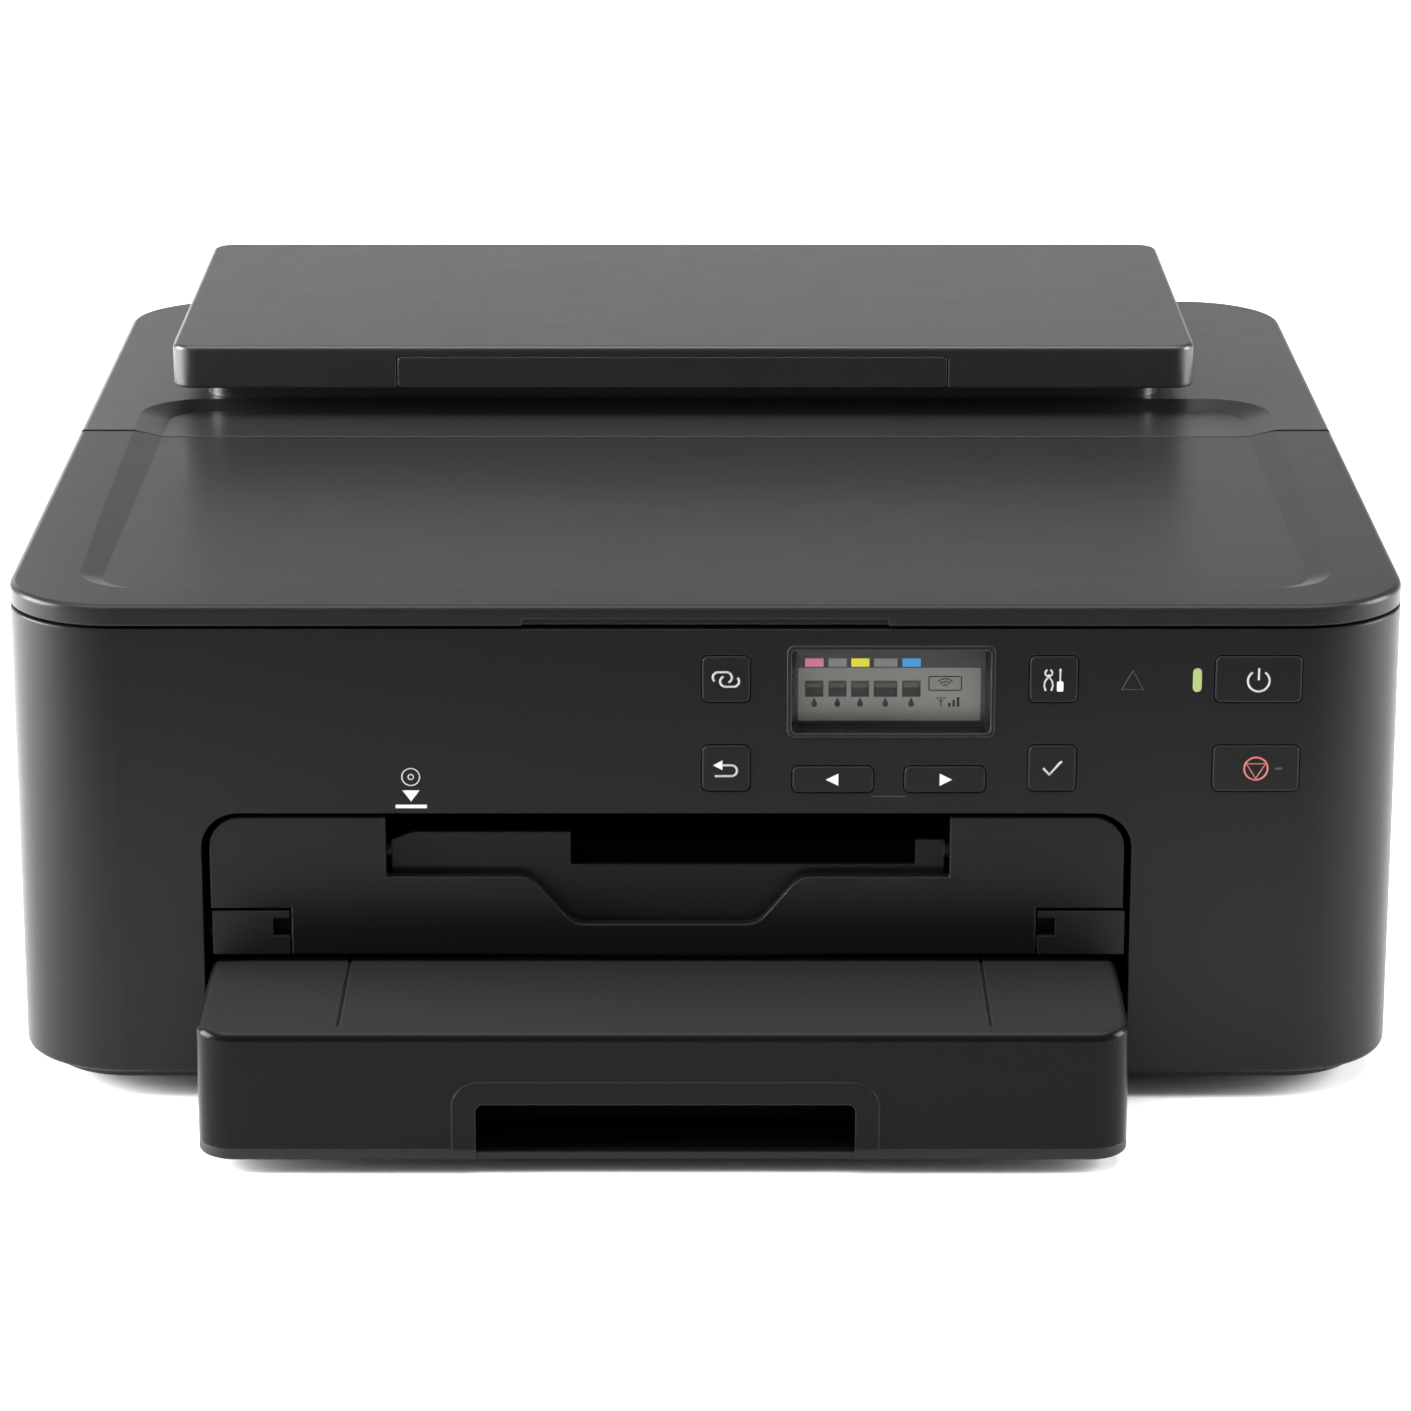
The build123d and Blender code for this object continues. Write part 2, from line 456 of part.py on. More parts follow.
FLAP_Z, FLAP_TOP_Z, FLAP_T = (48.5, 72.0), 74.2, 2.0
with BuildPart() as output_flap:
    with BuildSketch(front_plane(FLAP_PIVOT[0] - FLAP_T / 2)):
        with BuildLine():
            Polyline([
                (FLAP_X[0], FLAP_Z[0]), (FLAP_X[0], FLAP_Z[1]), (-78, FLAP_TOP_Z), (-36, FLAP_TOP_Z),
                (-36, 65.0), (56, 65.0), (56, FLAP_Z[1]), (FLAP_X[1], FLAP_Z[1]), (FLAP_X[1], FLAP_Z[0]),
            ], close=True)
        make_face()
    extrude(amount=-FLAP_T)
    # knuckles that stand out sideways, behind the tray's plate
    for side, edge in ((-1, CUT_X[0]), (1, CUT_X[1])):
        knuckle = sorted((edge - side * 1.4, edge + side * (KNUCKLE_W + 1.0)))
        rod_x(FLAP_PIVOT, FLAP_KNUCKLE_R, knuckle)
        bore = sorted((edge + side * 0.5, edge + side * (KNUCKLE_W + 2.0)))
        rod_x(FLAP_PIVOT, FLAP_PIN_R + TURN, bore, mode=Mode.SUBTRACT)
    for rib in range(6):
        rib_x = -68 + rib * 24
        block((rib_x, rib_x + 1.6), (6.9, 8.6), (52, 62))
save(output_flap.part, "output_flap")

# ---------------------------------------------------------------- middle frame and deck

with BuildPart() as middle_frame:
    block((-137.5, 166), (14, 256), (42.0, 44.5))
    block((-40, 20), (186, 257), (40, 46), mode=Mode.SUBTRACT)
    for x, notch in (((-131.7, -111.1), (-115.5, -111.0)), ((88.7, 111.9), (88.6, 93.4))):
        block(x, (TRAY_DEPTH[0], 15), (TRAY_Z[0], 53.4))
        block(notch, (0, 5.5), (46.4, 51.4), mode=Mode.SUBTRACT)
        bore = (x[0] + 3, x[1] + 0.1) if x[0] < 0 else (x[0] - 0.1, x[1] - 3)
        rod_x(TRAY_PIVOT, TRAY_PIN_R + TURN, bore, mode=Mode.SUBTRACT)
    # inner sill across the paper exit, and the posts of the platen
    block((-128, 108), (40, 42.5), (44, 60))
    for x in (-116, -60, 0, 60, 92):
        block((x, x + 4), (106, 150), (44, 68))
    # pillars of the pick-up arm's pivot
    for x in ((-50, -46), (26, 30)):
        block(x, (190, 202), (44, 63))
        rod_x((196, 58), 3 + TURN, (x[0] - 1, x[1] + 1), mode=Mode.SUBTRACT)
save(middle_frame.part, "middle_frame")

with BuildPart() as upper_deck:
    extrude(body_outline(DECK_Z, WALL + 0.3), amount=2.0)
    block((-190, 190), (SPLIT - 8, BODY_D + 5), (DECK_Z - 1, DECK_Z + 3), mode=Mode.SUBTRACT)
    with BuildSketch(Plane.XY.offset(DECK_Z - 1)):
        with Locations((4, FRONT + 125)):
            RectangleRounded(342, 126, 8)
    extrude(amount=6, mode=Mode.SUBTRACT)
    block((-166, 174), (56, 58.2), (86, DECK_Z + 1))
save(upper_deck.part, "upper_deck")

# ---------------------------------------------------------------- control panel

for name, x, z, width, height in BUTTONS:
    with BuildPart() as button:
        panel(x, z, width, height, BUTTON_R, (-BUTTON_PROUD, 4.2))
        fillet(button.faces().sort_by(Axis.Y)[0].edges(), 0.45)
        panel(x, z, width + 2.4, height + 2.4, BUTTON_R, (3.0, 4.2))
        rod_y(x, z, 1.5, (4.0, 5.0))
    save(button.part, name)

with BuildPart() as display_bezel:
    x, z, width, height = DISPLAY
    panel(x, z, width - 0.1, height - 0.1, 2.0, (-0.3, 7.0))
    fillet(display_bezel.faces().sort_by(Axis.Y)[0].edges(), 0.25)
    panel(x, z, width + 4, height + 4, 2.0, (WALL + 0.1, 4.0))
    with BuildSketch(front_plane(-0.4)):
        with Locations((x, z)):
            RectangleRounded(width - 2.4, height - 2.4, 1.4)
    with BuildSketch(front_plane(4.6)):
        with Locations((x, z - 0.3)):
            RectangleRounded(width - 5.0, height - 4.6, 0.6)
    loft(mode=Mode.SUBTRACT)
    panel(x, z, width - 2.0, height - 2.0, 1.0, (4.6, 8), Mode.SUBTRACT)
save(display_bezel.part, "display_bezel")

with BuildPart() as display_window:
    panel(x, z, width - 2.2, height - 2.2, 0.9, (4.6, 6.4))
save(display_window.part, "display_window")

with BuildPart() as power_lamp:
    panel(*LAMP[:2], LAMP[2] - 0.1, LAMP[3] - 0.1, (LAMP[2] - 0.1) / 2.01, (-0.15, 5.5))
save(power_lamp.part, "power_lamp")

with BuildPart() as panel_board:
    block((-6, 165), (7.2, 8.8), (84, 122.8))
with BuildPart() as switches:
    for _, x, z, _, _ in BUTTONS:
        block((x - 3, x + 3), (6.0, 7.2), (z - 3, z + 3))
with BuildPart() as main_board:
    block((116, 170), (215, 358), (16, 17.6))
with BuildPart() as board_parts:
    block((USB[0] - 6.2, USB[0] + 6.2), (BODY_D - 17, BODY_D), (17.6, 29.2))
    panel(USB[0], USB[1], 8.6, 8.0, 0.5, (BODY_D - 9, BODY_D + 1), Mode.SUBTRACT)
    block((136, 152), (270, 286), (17.6, 19.6))
    block((122, 130), (240, 262), (17.6, 27))
    rod_z(160, 235, 5, (17.6, 30))
    rod_z(160, 250, 5, (17.6, 30))
board_nodes = [panel_board.part, *switches.part.solids(), main_board.part, *board_parts.part.solids()]
save(Compound(children=board_nodes), "circuit_boards")

with BuildPart() as supply_case:
    block((-178, -142), (215, 336), (13, 68))
    fillet(supply_case.edges().filter_by(Axis.Z), 2)
with BuildPart() as mains_inlet:
    panel(*INLET, 24, 16, 2, (BODY_D - 26, BODY_D))
    panel(*INLET, 15.5, 8.2, 4.0, (BODY_D - 14, BODY_D + 1), Mode.SUBTRACT)
save(Compound(children=[supply_case.part, mains_inlet.part]), "power_supply")

# ---------------------------------------------------------------- print mechanism


def tooth_half_angle(teeth, radius):
    """Half the angle that an involute tooth with a little backlash fills at a radius."""
    pitch_r = MODULE * teeth / 2
    base_r = pitch_r * cos(radians(20))
    pressure = acos(min(1.0, base_r / max(radius, base_r)))
    return pi / (2 * teeth) - 0.14 / pitch_r + tan(radians(20)) - radians(20) - (tan(pressure) - pressure)


def gear(teeth, pivot, x, bore, turned=0.0):
    """A spur gear along X about a pivot, with one tooth turned up from +Y by an angle in degrees."""
    pitch_r = MODULE * teeth / 2
    radii = [pitch_r - 1.2 * MODULE, pitch_r - 0.4 * MODULE, pitch_r + 0.3 * MODULE, pitch_r + 0.9 * MODULE]
    points = []
    for tooth in range(teeth):
        middle = radians(turned) + 2 * pi * tooth / teeth
        flank = [(r, tooth_half_angle(teeth, r)) for r in radii]
        sides = [(r, middle - a) for r, a in flank] + [(r, middle + a) for r, a in reversed(flank)]
        points += [(pivot[0] + r * cos(a), pivot[1] + r * sin(a)) for r, a in sides]
    with BuildPart() as wheel:
        side_shape(points, x)
        rod_x(pivot, bore, (x[0] - 1, x[1] + 1), mode=Mode.SUBTRACT)
    return wheel.part


IDLER_AXIS = ((FEED_AXIS[0] + EJECT_AXIS[0]) / 2, FEED_AXIS[1])
PINION_ANGLE = -54.0  # from the feed gear, on one of its teeth
pinion_reach = MODULE * (FEED_TEETH + PINION_TEETH) / 2
PINION_AXIS = (
    FEED_AXIS[0] + pinion_reach * cos(radians(PINION_ANGLE)),
    FEED_AXIS[1] + pinion_reach * sin(radians(PINION_ANGLE)),
)

with BuildPart() as side_plates:
    for x in ((PLATE_X[0], PLATE_X[0] + PLATE_T), (PLATE_X[1], PLATE_X[1] + PLATE_T)):
        block(x, (70, 180), (11.2, DECK_Z))
        block(x, (170, 188.4), (11.2, 123))
        rod_x(FEED_AXIS, 4 + TURN, (x[0] - 1, x[1] + 1), mode=Mode.SUBTRACT)
        rod_x(EJECT_AXIS, 3 + TURN, (x[0] - 1, x[1] + 1), mode=Mode.SUBTRACT)
    rod_x(PINION_AXIS, 4, (PLATE_X[0] - 1, PLATE_X[0] + 3), mode=Mode.SUBTRACT)
    rod_x(IDLER_AXIS, 2.5, (PLATE_X[0], GEAR_X[1] + 1.5))
save(side_plates.part, "side_plates")

with BuildPart() as feed_shaft:
    rod_x(FEED_AXIS, 4, (-153.5, 171.5))
    rod_x(FEED_AXIS, ROLLER_R, (-118, 98))
feed_gear = gear(FEED_TEETH, FEED_AXIS, GEAR_X, 4)
save(Compound(children=[feed_shaft.part, feed_gear]), "feed_roller")

with BuildPart() as eject_shaft:
    rod_x(EJECT_AXIS, 3, (-153.5, 171.5))
with BuildPart() as eject_tyres:
    for tyre in range(8):
        x = -110 + tyre * 27
        rod_x(EJECT_AXIS, ROLLER_R, (x, x + 8))
        rod_x(EJECT_AXIS, 3, (x, x + 8), mode=Mode.SUBTRACT)
eject_gear = gear(FEED_TEETH, EJECT_AXIS, GEAR_X, 3, 180 / FEED_TEETH)
save(Compound(children=[eject_shaft.part, *eject_tyres.part.solids(), eject_gear]), "eject_roller")

save(gear(IDLER_TEETH, IDLER_AXIS, GEAR_X, 2.5 + TURN, 180 / IDLER_TEETH), "idler_gear")

with BuildPart() as motor_pinion:
    add(gear(PINION_TEETH, PINION_AXIS, GEAR_X, 1.5, 180 + PINION_ANGLE + 180 / PINION_TEETH))
    rod_x(PINION_AXIS, 1.5, (PLATE_X[0] - 0.4, GEAR_X[1] + 1))
save(motor_pinion.part, "motor_pinion")

with BuildPart() as feed_motor:
    rod_x(PINION_AXIS, 13, (-178, PLATE_X[0] - 2))
    fillet(feed_motor.edges(), 1.0)
    rod_x(PINION_AXIS, 5, (PLATE_X[0] - 2.5, PLATE_X[0] - 0.6))
save(feed_motor.part, "feed_motor")

PINCH_R = 3.5
PINCH_AXIS = (FEED_AXIS[0], FEED_AXIS[1] + ROLLER_R + PINCH_R + 0.06)
with BuildPart() as pinch_rollers:
    rod_x(PINCH_AXIS, 1.2, (-113.6, 93.2))
    for roller in range(8):
        x = -110 + roller * 27
        rod_x(PINCH_AXIS, PINCH_R, (x, x + 10))
save(pinch_rollers.part, "pinch_rollers")

with BuildPart() as pinch_roller_holder:
    block((-118, 98), (163.5, 186.5), (83.6, 85.4))
    for x in (-112.6, *[-98.5 + 27 * roller for roller in range(8)]):
        block((x, x + 1.6), (156.5, 166), (77.5, 85.4))
        rod_x(PINCH_AXIS, 1.2 + TURN, (x - 1, x + 3), mode=Mode.SUBTRACT)
    block((-150, -118), (180, 186.5), (83.6, 85.4))
    block((98, 168), (180, 186.5), (83.6, 85.4))
save(pinch_roller_holder.part, "pinch_roller_holder")

with BuildPart() as platen:
    block((-118, 98), (103, 151), (68.2, 72))
    for rib in range(25):
        x = -114 + rib * 8.8
        block((x - 0.6, x + 0.6), (105, 149), (72, 75))
save(platen.part, "platen")

with BuildPart() as carriage_rail:
    rail_x = (PLATE_X[0] + PLATE_T, PLATE_X[1])
    block(rail_x, (187.0, 188.2), (86, 122.8))
    # the lower flange stops short of the gears
    block((GEAR_X[1] + 3, PLATE_X[1]), (172.5, 188.2), (86, 87.2))
    block(rail_x, (178, 188.2), (121.6, 122.8))
    rod_y(BELT_ENDS[0], BELT_Z, 4, (186, 190), mode=Mode.SUBTRACT)
    rod_y(BELT_ENDS[1], BELT_Z, 1.5, (174.5, 187.5))
save(carriage_rail.part, "carriage_rail")

belt_mid, belt_span = sum(BELT_ENDS) / 2, BELT_ENDS[1] - BELT_ENDS[0]
with BuildPart() as carriage_belt:
    with BuildSketch(front_plane(BELT_DEPTH[0])):
        with Locations((belt_mid, BELT_Z)):
            SlotCenterToCenter(belt_span, 2 * (BELT_R + BELT_T))
            SlotCenterToCenter(belt_span, 2 * BELT_R, mode=Mode.SUBTRACT)
    extrude(amount=-(BELT_DEPTH[1] - BELT_DEPTH[0]))
save(carriage_belt.part, "carriage_belt")

for name, x, driven in (("drive_pulley", BELT_ENDS[0], True), ("idler_pulley", BELT_ENDS[1], False)):
    with BuildPart() as pulley:
        rod_y(x, BELT_Z, BELT_R - TURN, (BELT_DEPTH[0] - 0.9, BELT_DEPTH[1] + 0.9))
        for depth in ((BELT_DEPTH[0] - 0.9, BELT_DEPTH[0] - 0.1), (BELT_DEPTH[1] + 0.1, BELT_DEPTH[1] + 0.9)):
            rod_y(x, BELT_Z, 7, depth)
        if driven:
            rod_y(x, BELT_Z, 1.5, (174.5, 189.6))
        else:
            rod_y(x, BELT_Z, 1.5 + TURN, (170, 187), mode=Mode.SUBTRACT)
    save(pulley.part, name)

with BuildPart() as carriage_motor:
    rod_y(BELT_ENDS[0], BELT_Z, 12.5, (190, 214))
    fillet(carriage_motor.edges(), 1.0)
save(carriage_motor.part, "carriage_motor")

# ---------------------------------------------------------------- carriage and ink

cx = (CARRIAGE_X - CARRIAGE_W / 2, CARRIAGE_X + CARRIAGE_W / 2)
with BuildPart() as carriage:
    block(cx, (103, 170), (92, 118))
    block((cx[0] + 3, cx[1] - 3), (106, 163), (96, 130), mode=Mode.SUBTRACT)
    block((cx[0] + 5, cx[1] - 5), (102, 107), (108, 130), mode=Mode.SUBTRACT)
    block((cx[0] + 14, cx[1] - 14), (112, 148), (80, 92.5))
    block((cx[0] + 4, cx[1] - 4), (166, 184), (87.5, 92.5))
    block((CARRIAGE_X - 10, CARRIAGE_X + 10), (169, 183.5), (98.2, BELT_Z - BELT_R - BELT_T - 0.3))
    block((CARRIAGE_X - 10, CARRIAGE_X + 10), (169, 183.5), (BELT_Z - BELT_R + 0.3, BELT_Z - BELT_R + 2.4))
save(carriage.part, "carriage")

tank_x = cx[0] + 3 + (CARRIAGE_W - 6 - sum(TANK_WIDTHS) - TANK_GAP * (len(TANK_WIDTHS) - 1)) / 2
for name, width in zip(TANK_NAMES, TANK_WIDTHS):
    with BuildPart() as tank:
        block((tank_x, tank_x + width), (106.5, 162.5), (96.3, 116))
        fillet(tank.edges().filter_by(Axis.Z), 1.0)
        block((tank_x + 1.5, tank_x + width - 1.5), (106.5, 124), (116, 117.8))
        block((tank_x + 2.5, tank_x + width - 2.5), (104.2, 107), (109, 117.8))
        with Locations((tank_x + width / 2, FRONT + 146, 96.3)):
            Cylinder(2.6, 1.2, mode=Mode.SUBTRACT)
    save(tank.part, f"ink_tank_{name}")
    tank_x += width + TANK_GAP

with BuildPart() as purge_unit:
    block((103, 160), (103, 150), (44.7, 73))
    block((106, 157), (106, 147), (62, 74), mode=Mode.SUBTRACT)
with BuildPart() as purge_caps:
    block((110, 130), (110, 143), (62, 79.6))
    block((112, 128), (112, 141), (77.6, 80), mode=Mode.SUBTRACT)
    block((136, 152), (110, 143), (62, 77.8))
save(Compound(children=[purge_unit.part, *purge_caps.part.solids()]), "purge_unit")

# ---------------------------------------------------------------- pick-up arm

ARM_PIVOT, PICK_AXIS, PICK_R = (196.0, 58.0), (238.0, 22.5), 9.0
with BuildPart() as pickup_arm:
    rod_x(ARM_PIVOT, 3, (-51, 31))
    for x in ((-16, -13), (-8, -5)):
        rod_x(ARM_PIVOT, 5, x)
        rod_x(PICK_AXIS, 4.5, x)
        side_shape([(193.2, 55.5), (198.8, 60.8), (240.4, 25.2), (235.4, 19.6)], x)
    block((-13.5, -7.5), (212, 220), (40.5, 44.0))
    for x in ((-17, -12), (-9, -4)):
        rod_x(PICK_AXIS, 2 + TURN, x, mode=Mode.SUBTRACT)
save(pickup_arm.part, "pickup_arm")

with BuildPart() as pickup_axle:
    rod_x(PICK_AXIS, 2, (-29, 9))
with BuildPart() as pickup_tyres:
    for x in ((-28, -16.5), (-4.5, 8)):
        rod_x(PICK_AXIS, PICK_R, x)
        rod_x(PICK_AXIS, 2, x, mode=Mode.SUBTRACT)
save(Compound(children=[pickup_axle.part, *pickup_tyres.part.solids()]), "pickup_roller")

# ---------------------------------------------------------------- cassette

CASSETTE_MID = (sum(CASSETTE_X) / 2, FRONT + 3.0)
CASSETTE_W, CASSETTE_L = CASSETTE_X[1] - CASSETTE_X[0], 114.0


def cassette_outline(z, inset=0.0, rear=0.0):
    """The front part's outline, with round front corners, drawn in by an inset and run on at the rear."""
    with BuildSketch(Plane.XY.offset(z)) as outline:
        with Locations((CASSETTE_MID[0], CASSETTE_MID[1] + rear / 2 + 0.25)):
            shape = Rectangle(CASSETTE_W - 2 * inset, CASSETTE_L - 0.5 - 2 * inset + rear)
        fillet(shape.vertices().group_by(Axis.Y)[0], 10 - inset)
    return outline.sketch


with BuildPart() as cassette_front:
    extrude(cassette_outline(7.0), amount=CASSETTE_Z[1] - 7.0)
    top_edges = cassette_front.edges().group_by(Axis.Z)[-1]
    fillet(top_edges.filter_by(lambda edge: edge.center().Y < FRONT + 59), 2.4)
    hollow = cassette_outline(7.0, CASSETTE_WALL, rear=10)
    extrude(hollow, amount=CASSETTE_Z[1] - 7.0 - CASSETTE_WALL, mode=Mode.SUBTRACT)
    block((CASSETTE_X[0] + 6, CASSETTE_X[1] - 6), (30, 61), (30, 40), mode=Mode.SUBTRACT)
    # pocket for the fingers behind the notch, and the raised rim round the notch
    notch_mid, notch_w = sum(NOTCH_X) / 2, NOTCH_X[1] - NOTCH_X[0]
    block((NOTCH_X[0] - POCKET_WALL, NOTCH_X[1] + POCKET_WALL), (-REACH + 1, -REACH + 1 + POCKET_DEPTH),
          (7, NOTCH_TOP + POCKET_WALL))
    for grow, top_r, depths, mode in (
        (6.2, 7.0, (-REACH, -REACH + 1), Mode.ADD),
        (0.0, 2.0, (-REACH - 1, -30), Mode.SUBTRACT),
    ):
        with BuildSketch(front_plane(depths[0])):
            with Locations((notch_mid, (NOTCH_TOP + grow + 7) / 2)):
                mouth = Rectangle(notch_w + 2 * grow, NOTCH_TOP + grow - 7)
            fillet(mouth.vertices().group_by(Axis.Y)[-1], top_r)
        extrude(amount=-(depths[1] - depths[0]), mode=mode)
    for x in (PAPER_X - 85.0, PAPER_X + 84.0):
        block((x - 0.5, x + 0.5), (-REACH + 6, 25), (CASSETTE_Z[1] - 0.7, CASSETTE_Z[1] + 1),
              mode=Mode.SUBTRACT)
save(cassette_front.part, "cassette_front")

with BuildPart() as cassette_front_base:
    extrude(cassette_outline(CASSETTE_Z[0]), amount=3.0)
    fillet(cassette_front_base.edges().group_by(Axis.Z)[0], 0.8)
    extrude(cassette_outline(CASSETTE_Z[0] + 2.0, CASSETTE_WALL, rear=10), amount=3.0, mode=Mode.SUBTRACT)
    # the notch keeps a floor, set back a little from the front
    block(NOTCH_X, (-REACH - 1, -30), (CASSETTE_Z[0] + 2.0, 10), mode=Mode.SUBTRACT)
    block(NOTCH_X, (-REACH - 1, -REACH + 1.5), (0, 10), mode=Mode.SUBTRACT)
    for x in ((-24.0, -20.0), (-1.0, 3.0)):
        block(x, (-26, 8), (5.5, 8.0))
save(cassette_front_base.part, "cassette_front_base")

BIN_X = (CASSETTE_X[0] + CASSETTE_WALL + 0.4, CASSETTE_X[1] - CASSETTE_WALL - 0.4)
BIN_GAP_X = (-36.0, 16.0)  # round the pick-up arm and the length guide
with BuildPart() as cassette_tray:
    floor_z = (BIN_Z[0] - 1, BIN_Z[0] + BIN_WALL)
    block(BIN_X, BIN_DEPTH, BIN_Z)
    block((BIN_X[0] + BIN_WALL, BIN_X[1] - BIN_WALL), (BIN_DEPTH[0] - 1, BIN_DEPTH[1] - BIN_WALL),
          (floor_z[1], BIN_Z[1] + 1), mode=Mode.SUBTRACT)
    block(BIN_GAP_X, (250, 257), (10.4, 40), mode=Mode.SUBTRACT)
    block(BIN_GAP_X, (BIN_DEPTH[0] - 1, 74), floor_z, mode=Mode.SUBTRACT)
    # the floor is open where the finger pocket slides in over it
    pocket_x = (NOTCH_X[0] - POCKET_WALL - 1, NOTCH_X[1] + POCKET_WALL + 1)
    block(pocket_x, (BIN_DEPTH[0] - 1, POCKET_DEPTH + 5), floor_z, mode=Mode.SUBTRACT)
    for x in ((BIN_X[0] - FLANGE_REACH[0], BIN_X[0] + 1), (BIN_X[1] - 1, BIN_X[1] + FLANGE_REACH[1])):
        block(x, (122, BIN_DEPTH[1]), (19.8, 22.6))
    block((-34, 14), (214, 250), (8.3, 9.3))
save(cassette_tray.part, "cassette_tray")

GUIDE_ARMS = {"cassette_guide_left": (-1, (116, 123)), "cassette_guide_right": (1, (129, 136))}
for name, (side, arm_depth) in GUIDE_ARMS.items():
    edge = PAPER_X + side * (PAPER_HALF + 0.4)
    with BuildPart() as guide:
        block(sorted((edge, edge + side * 2.8)), (90, 162), (8.6, 32))
        block(sorted((edge, edge + side * 8.0)), (100, 152), (8.6, 10.2))
        block(sorted((edge, edge - side * 92.0)), arm_depth, (8.6, 10.2))
    save(guide.part, name)

with BuildPart() as cassette_length_guide:
    block((-32, 11.5), (-24, -21), (8.3, 31))
    block((-32, 11.5), (-21, -4), (8.3, 10.0))
save(cassette_length_guide.part, "cassette_length_guide")
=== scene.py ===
"""Looks for an inkjet printer: materials, printed marks, the display's picture, lights and camera.

The axes are the frame's own: X to the right, Y to the rear, Z up. Places are in metres, and the outlines
of printed marks are in millimetres about their own centre.
"""

from math import cos, pi, radians, sin, tau

import bmesh
import bpy
from mathutils import Matrix, Vector


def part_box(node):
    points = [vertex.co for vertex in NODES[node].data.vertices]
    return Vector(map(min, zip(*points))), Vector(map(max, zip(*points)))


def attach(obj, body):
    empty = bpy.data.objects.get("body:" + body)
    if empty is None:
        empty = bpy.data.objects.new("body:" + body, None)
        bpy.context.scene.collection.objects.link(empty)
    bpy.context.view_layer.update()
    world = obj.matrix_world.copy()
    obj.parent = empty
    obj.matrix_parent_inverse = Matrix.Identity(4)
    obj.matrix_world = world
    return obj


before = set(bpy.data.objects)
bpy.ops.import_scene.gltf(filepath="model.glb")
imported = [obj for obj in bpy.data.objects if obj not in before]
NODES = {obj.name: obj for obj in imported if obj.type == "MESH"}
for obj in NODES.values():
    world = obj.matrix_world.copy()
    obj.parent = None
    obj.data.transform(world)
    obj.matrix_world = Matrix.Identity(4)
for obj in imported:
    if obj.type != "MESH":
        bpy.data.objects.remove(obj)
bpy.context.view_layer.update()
MM = 0.001
RELIEF = 0.02 * MM  # how far a printed mark stands out
EDGE_RADIUS = 0.5 * MM  # how far moulded edges look rounded
SMEAR_DEPTH = 0.012  # how far handled patches change a plastic's roughness
BUTTONS = ("link", "back", "left", "right", "setup", "ok", "power", "stop")


# ---------------------------------------------------------------- materials


def new_material(name):
    """A material with its node tree and Principled shader."""
    material = bpy.data.materials.new(name)
    material.use_nodes = True
    return material, material.node_tree, material.node_tree.nodes["Principled BSDF"]


def node(tree, kind, **inputs):
    """Adds a shader node and sets its named inputs."""
    made = tree.nodes.new(kind)
    for key, value in inputs.items():
        made.inputs[key.replace("_", " ")].default_value = value
    return made


def ramp(tree, source, stops):
    """A colour ramp fed by a socket, with (position, colour) stops."""
    made = tree.nodes.new("ShaderNodeValToRGB")
    elements = made.color_ramp.elements
    while len(elements) < len(stops):
        elements.new(0.5)
    for element, (position, colour) in zip(elements, stops):
        element.position = position
        element.color = (*colour, 1.0) if len(colour) == 3 else colour
    tree.links.new(source, made.inputs["Fac"])
    return made.outputs["Color"]


def grey(value):
    """A neutral colour."""
    return (value, value, value)


def tinted(colour, factor):
    """A colour made lighter or darker, kept below full white."""
    return tuple(min(0.95, channel * factor) for channel in colour)


def mixed(tree, factor, at_none, at_full):
    """A colour between two by a factor from 0 to 1; each of the two is a colour or a socket."""
    mix = tree.nodes.new("ShaderNodeMix")
    mix.data_type = "RGBA"
    tree.links.new(factor, mix.inputs["Factor"])
    for name, source in (("A", at_none), ("B", at_full)):
        if isinstance(source, bpy.types.NodeSocket):
            tree.links.new(source, mix.inputs[name])
        else:
            mix.inputs[name].default_value = (*source, 1.0)
    return mix.outputs["Result"]


def soft_edges(tree, radius):
    """A normal that rounds the sharp edges, and a mask that is 1 on them and 0 on flat faces."""
    rounded = node(tree, "ShaderNodeBevel", Radius=radius)
    rounded.samples = 4
    normal = tree.nodes.new("ShaderNodeNewGeometry")
    dot = tree.nodes.new("ShaderNodeVectorMath")
    dot.operation = "DOT_PRODUCT"
    tree.links.new(rounded.outputs["Normal"], dot.inputs[0])
    tree.links.new(normal.outputs["Normal"], dot.inputs[1])
    mask = ramp(tree, dot.outputs["Value"], [(0.90, grey(1.0)), (0.995, grey(0.0))])
    return rounded.outputs["Normal"], mask


def upward(tree, source, colour, top_light):
    """A colour made lighter where the surface faces up: painted light on the upward faces."""
    split = tree.nodes.new("ShaderNodeSeparateXYZ")
    tree.links.new(tree.nodes.new("ShaderNodeNewGeometry").outputs["Normal"], split.inputs["Vector"])
    amount = ramp(tree, split.outputs["Z"], [(0.75, grey(0.0)), (1.0, grey(1.0))])
    return mixed(tree, amount, source, tinted(colour, top_light))


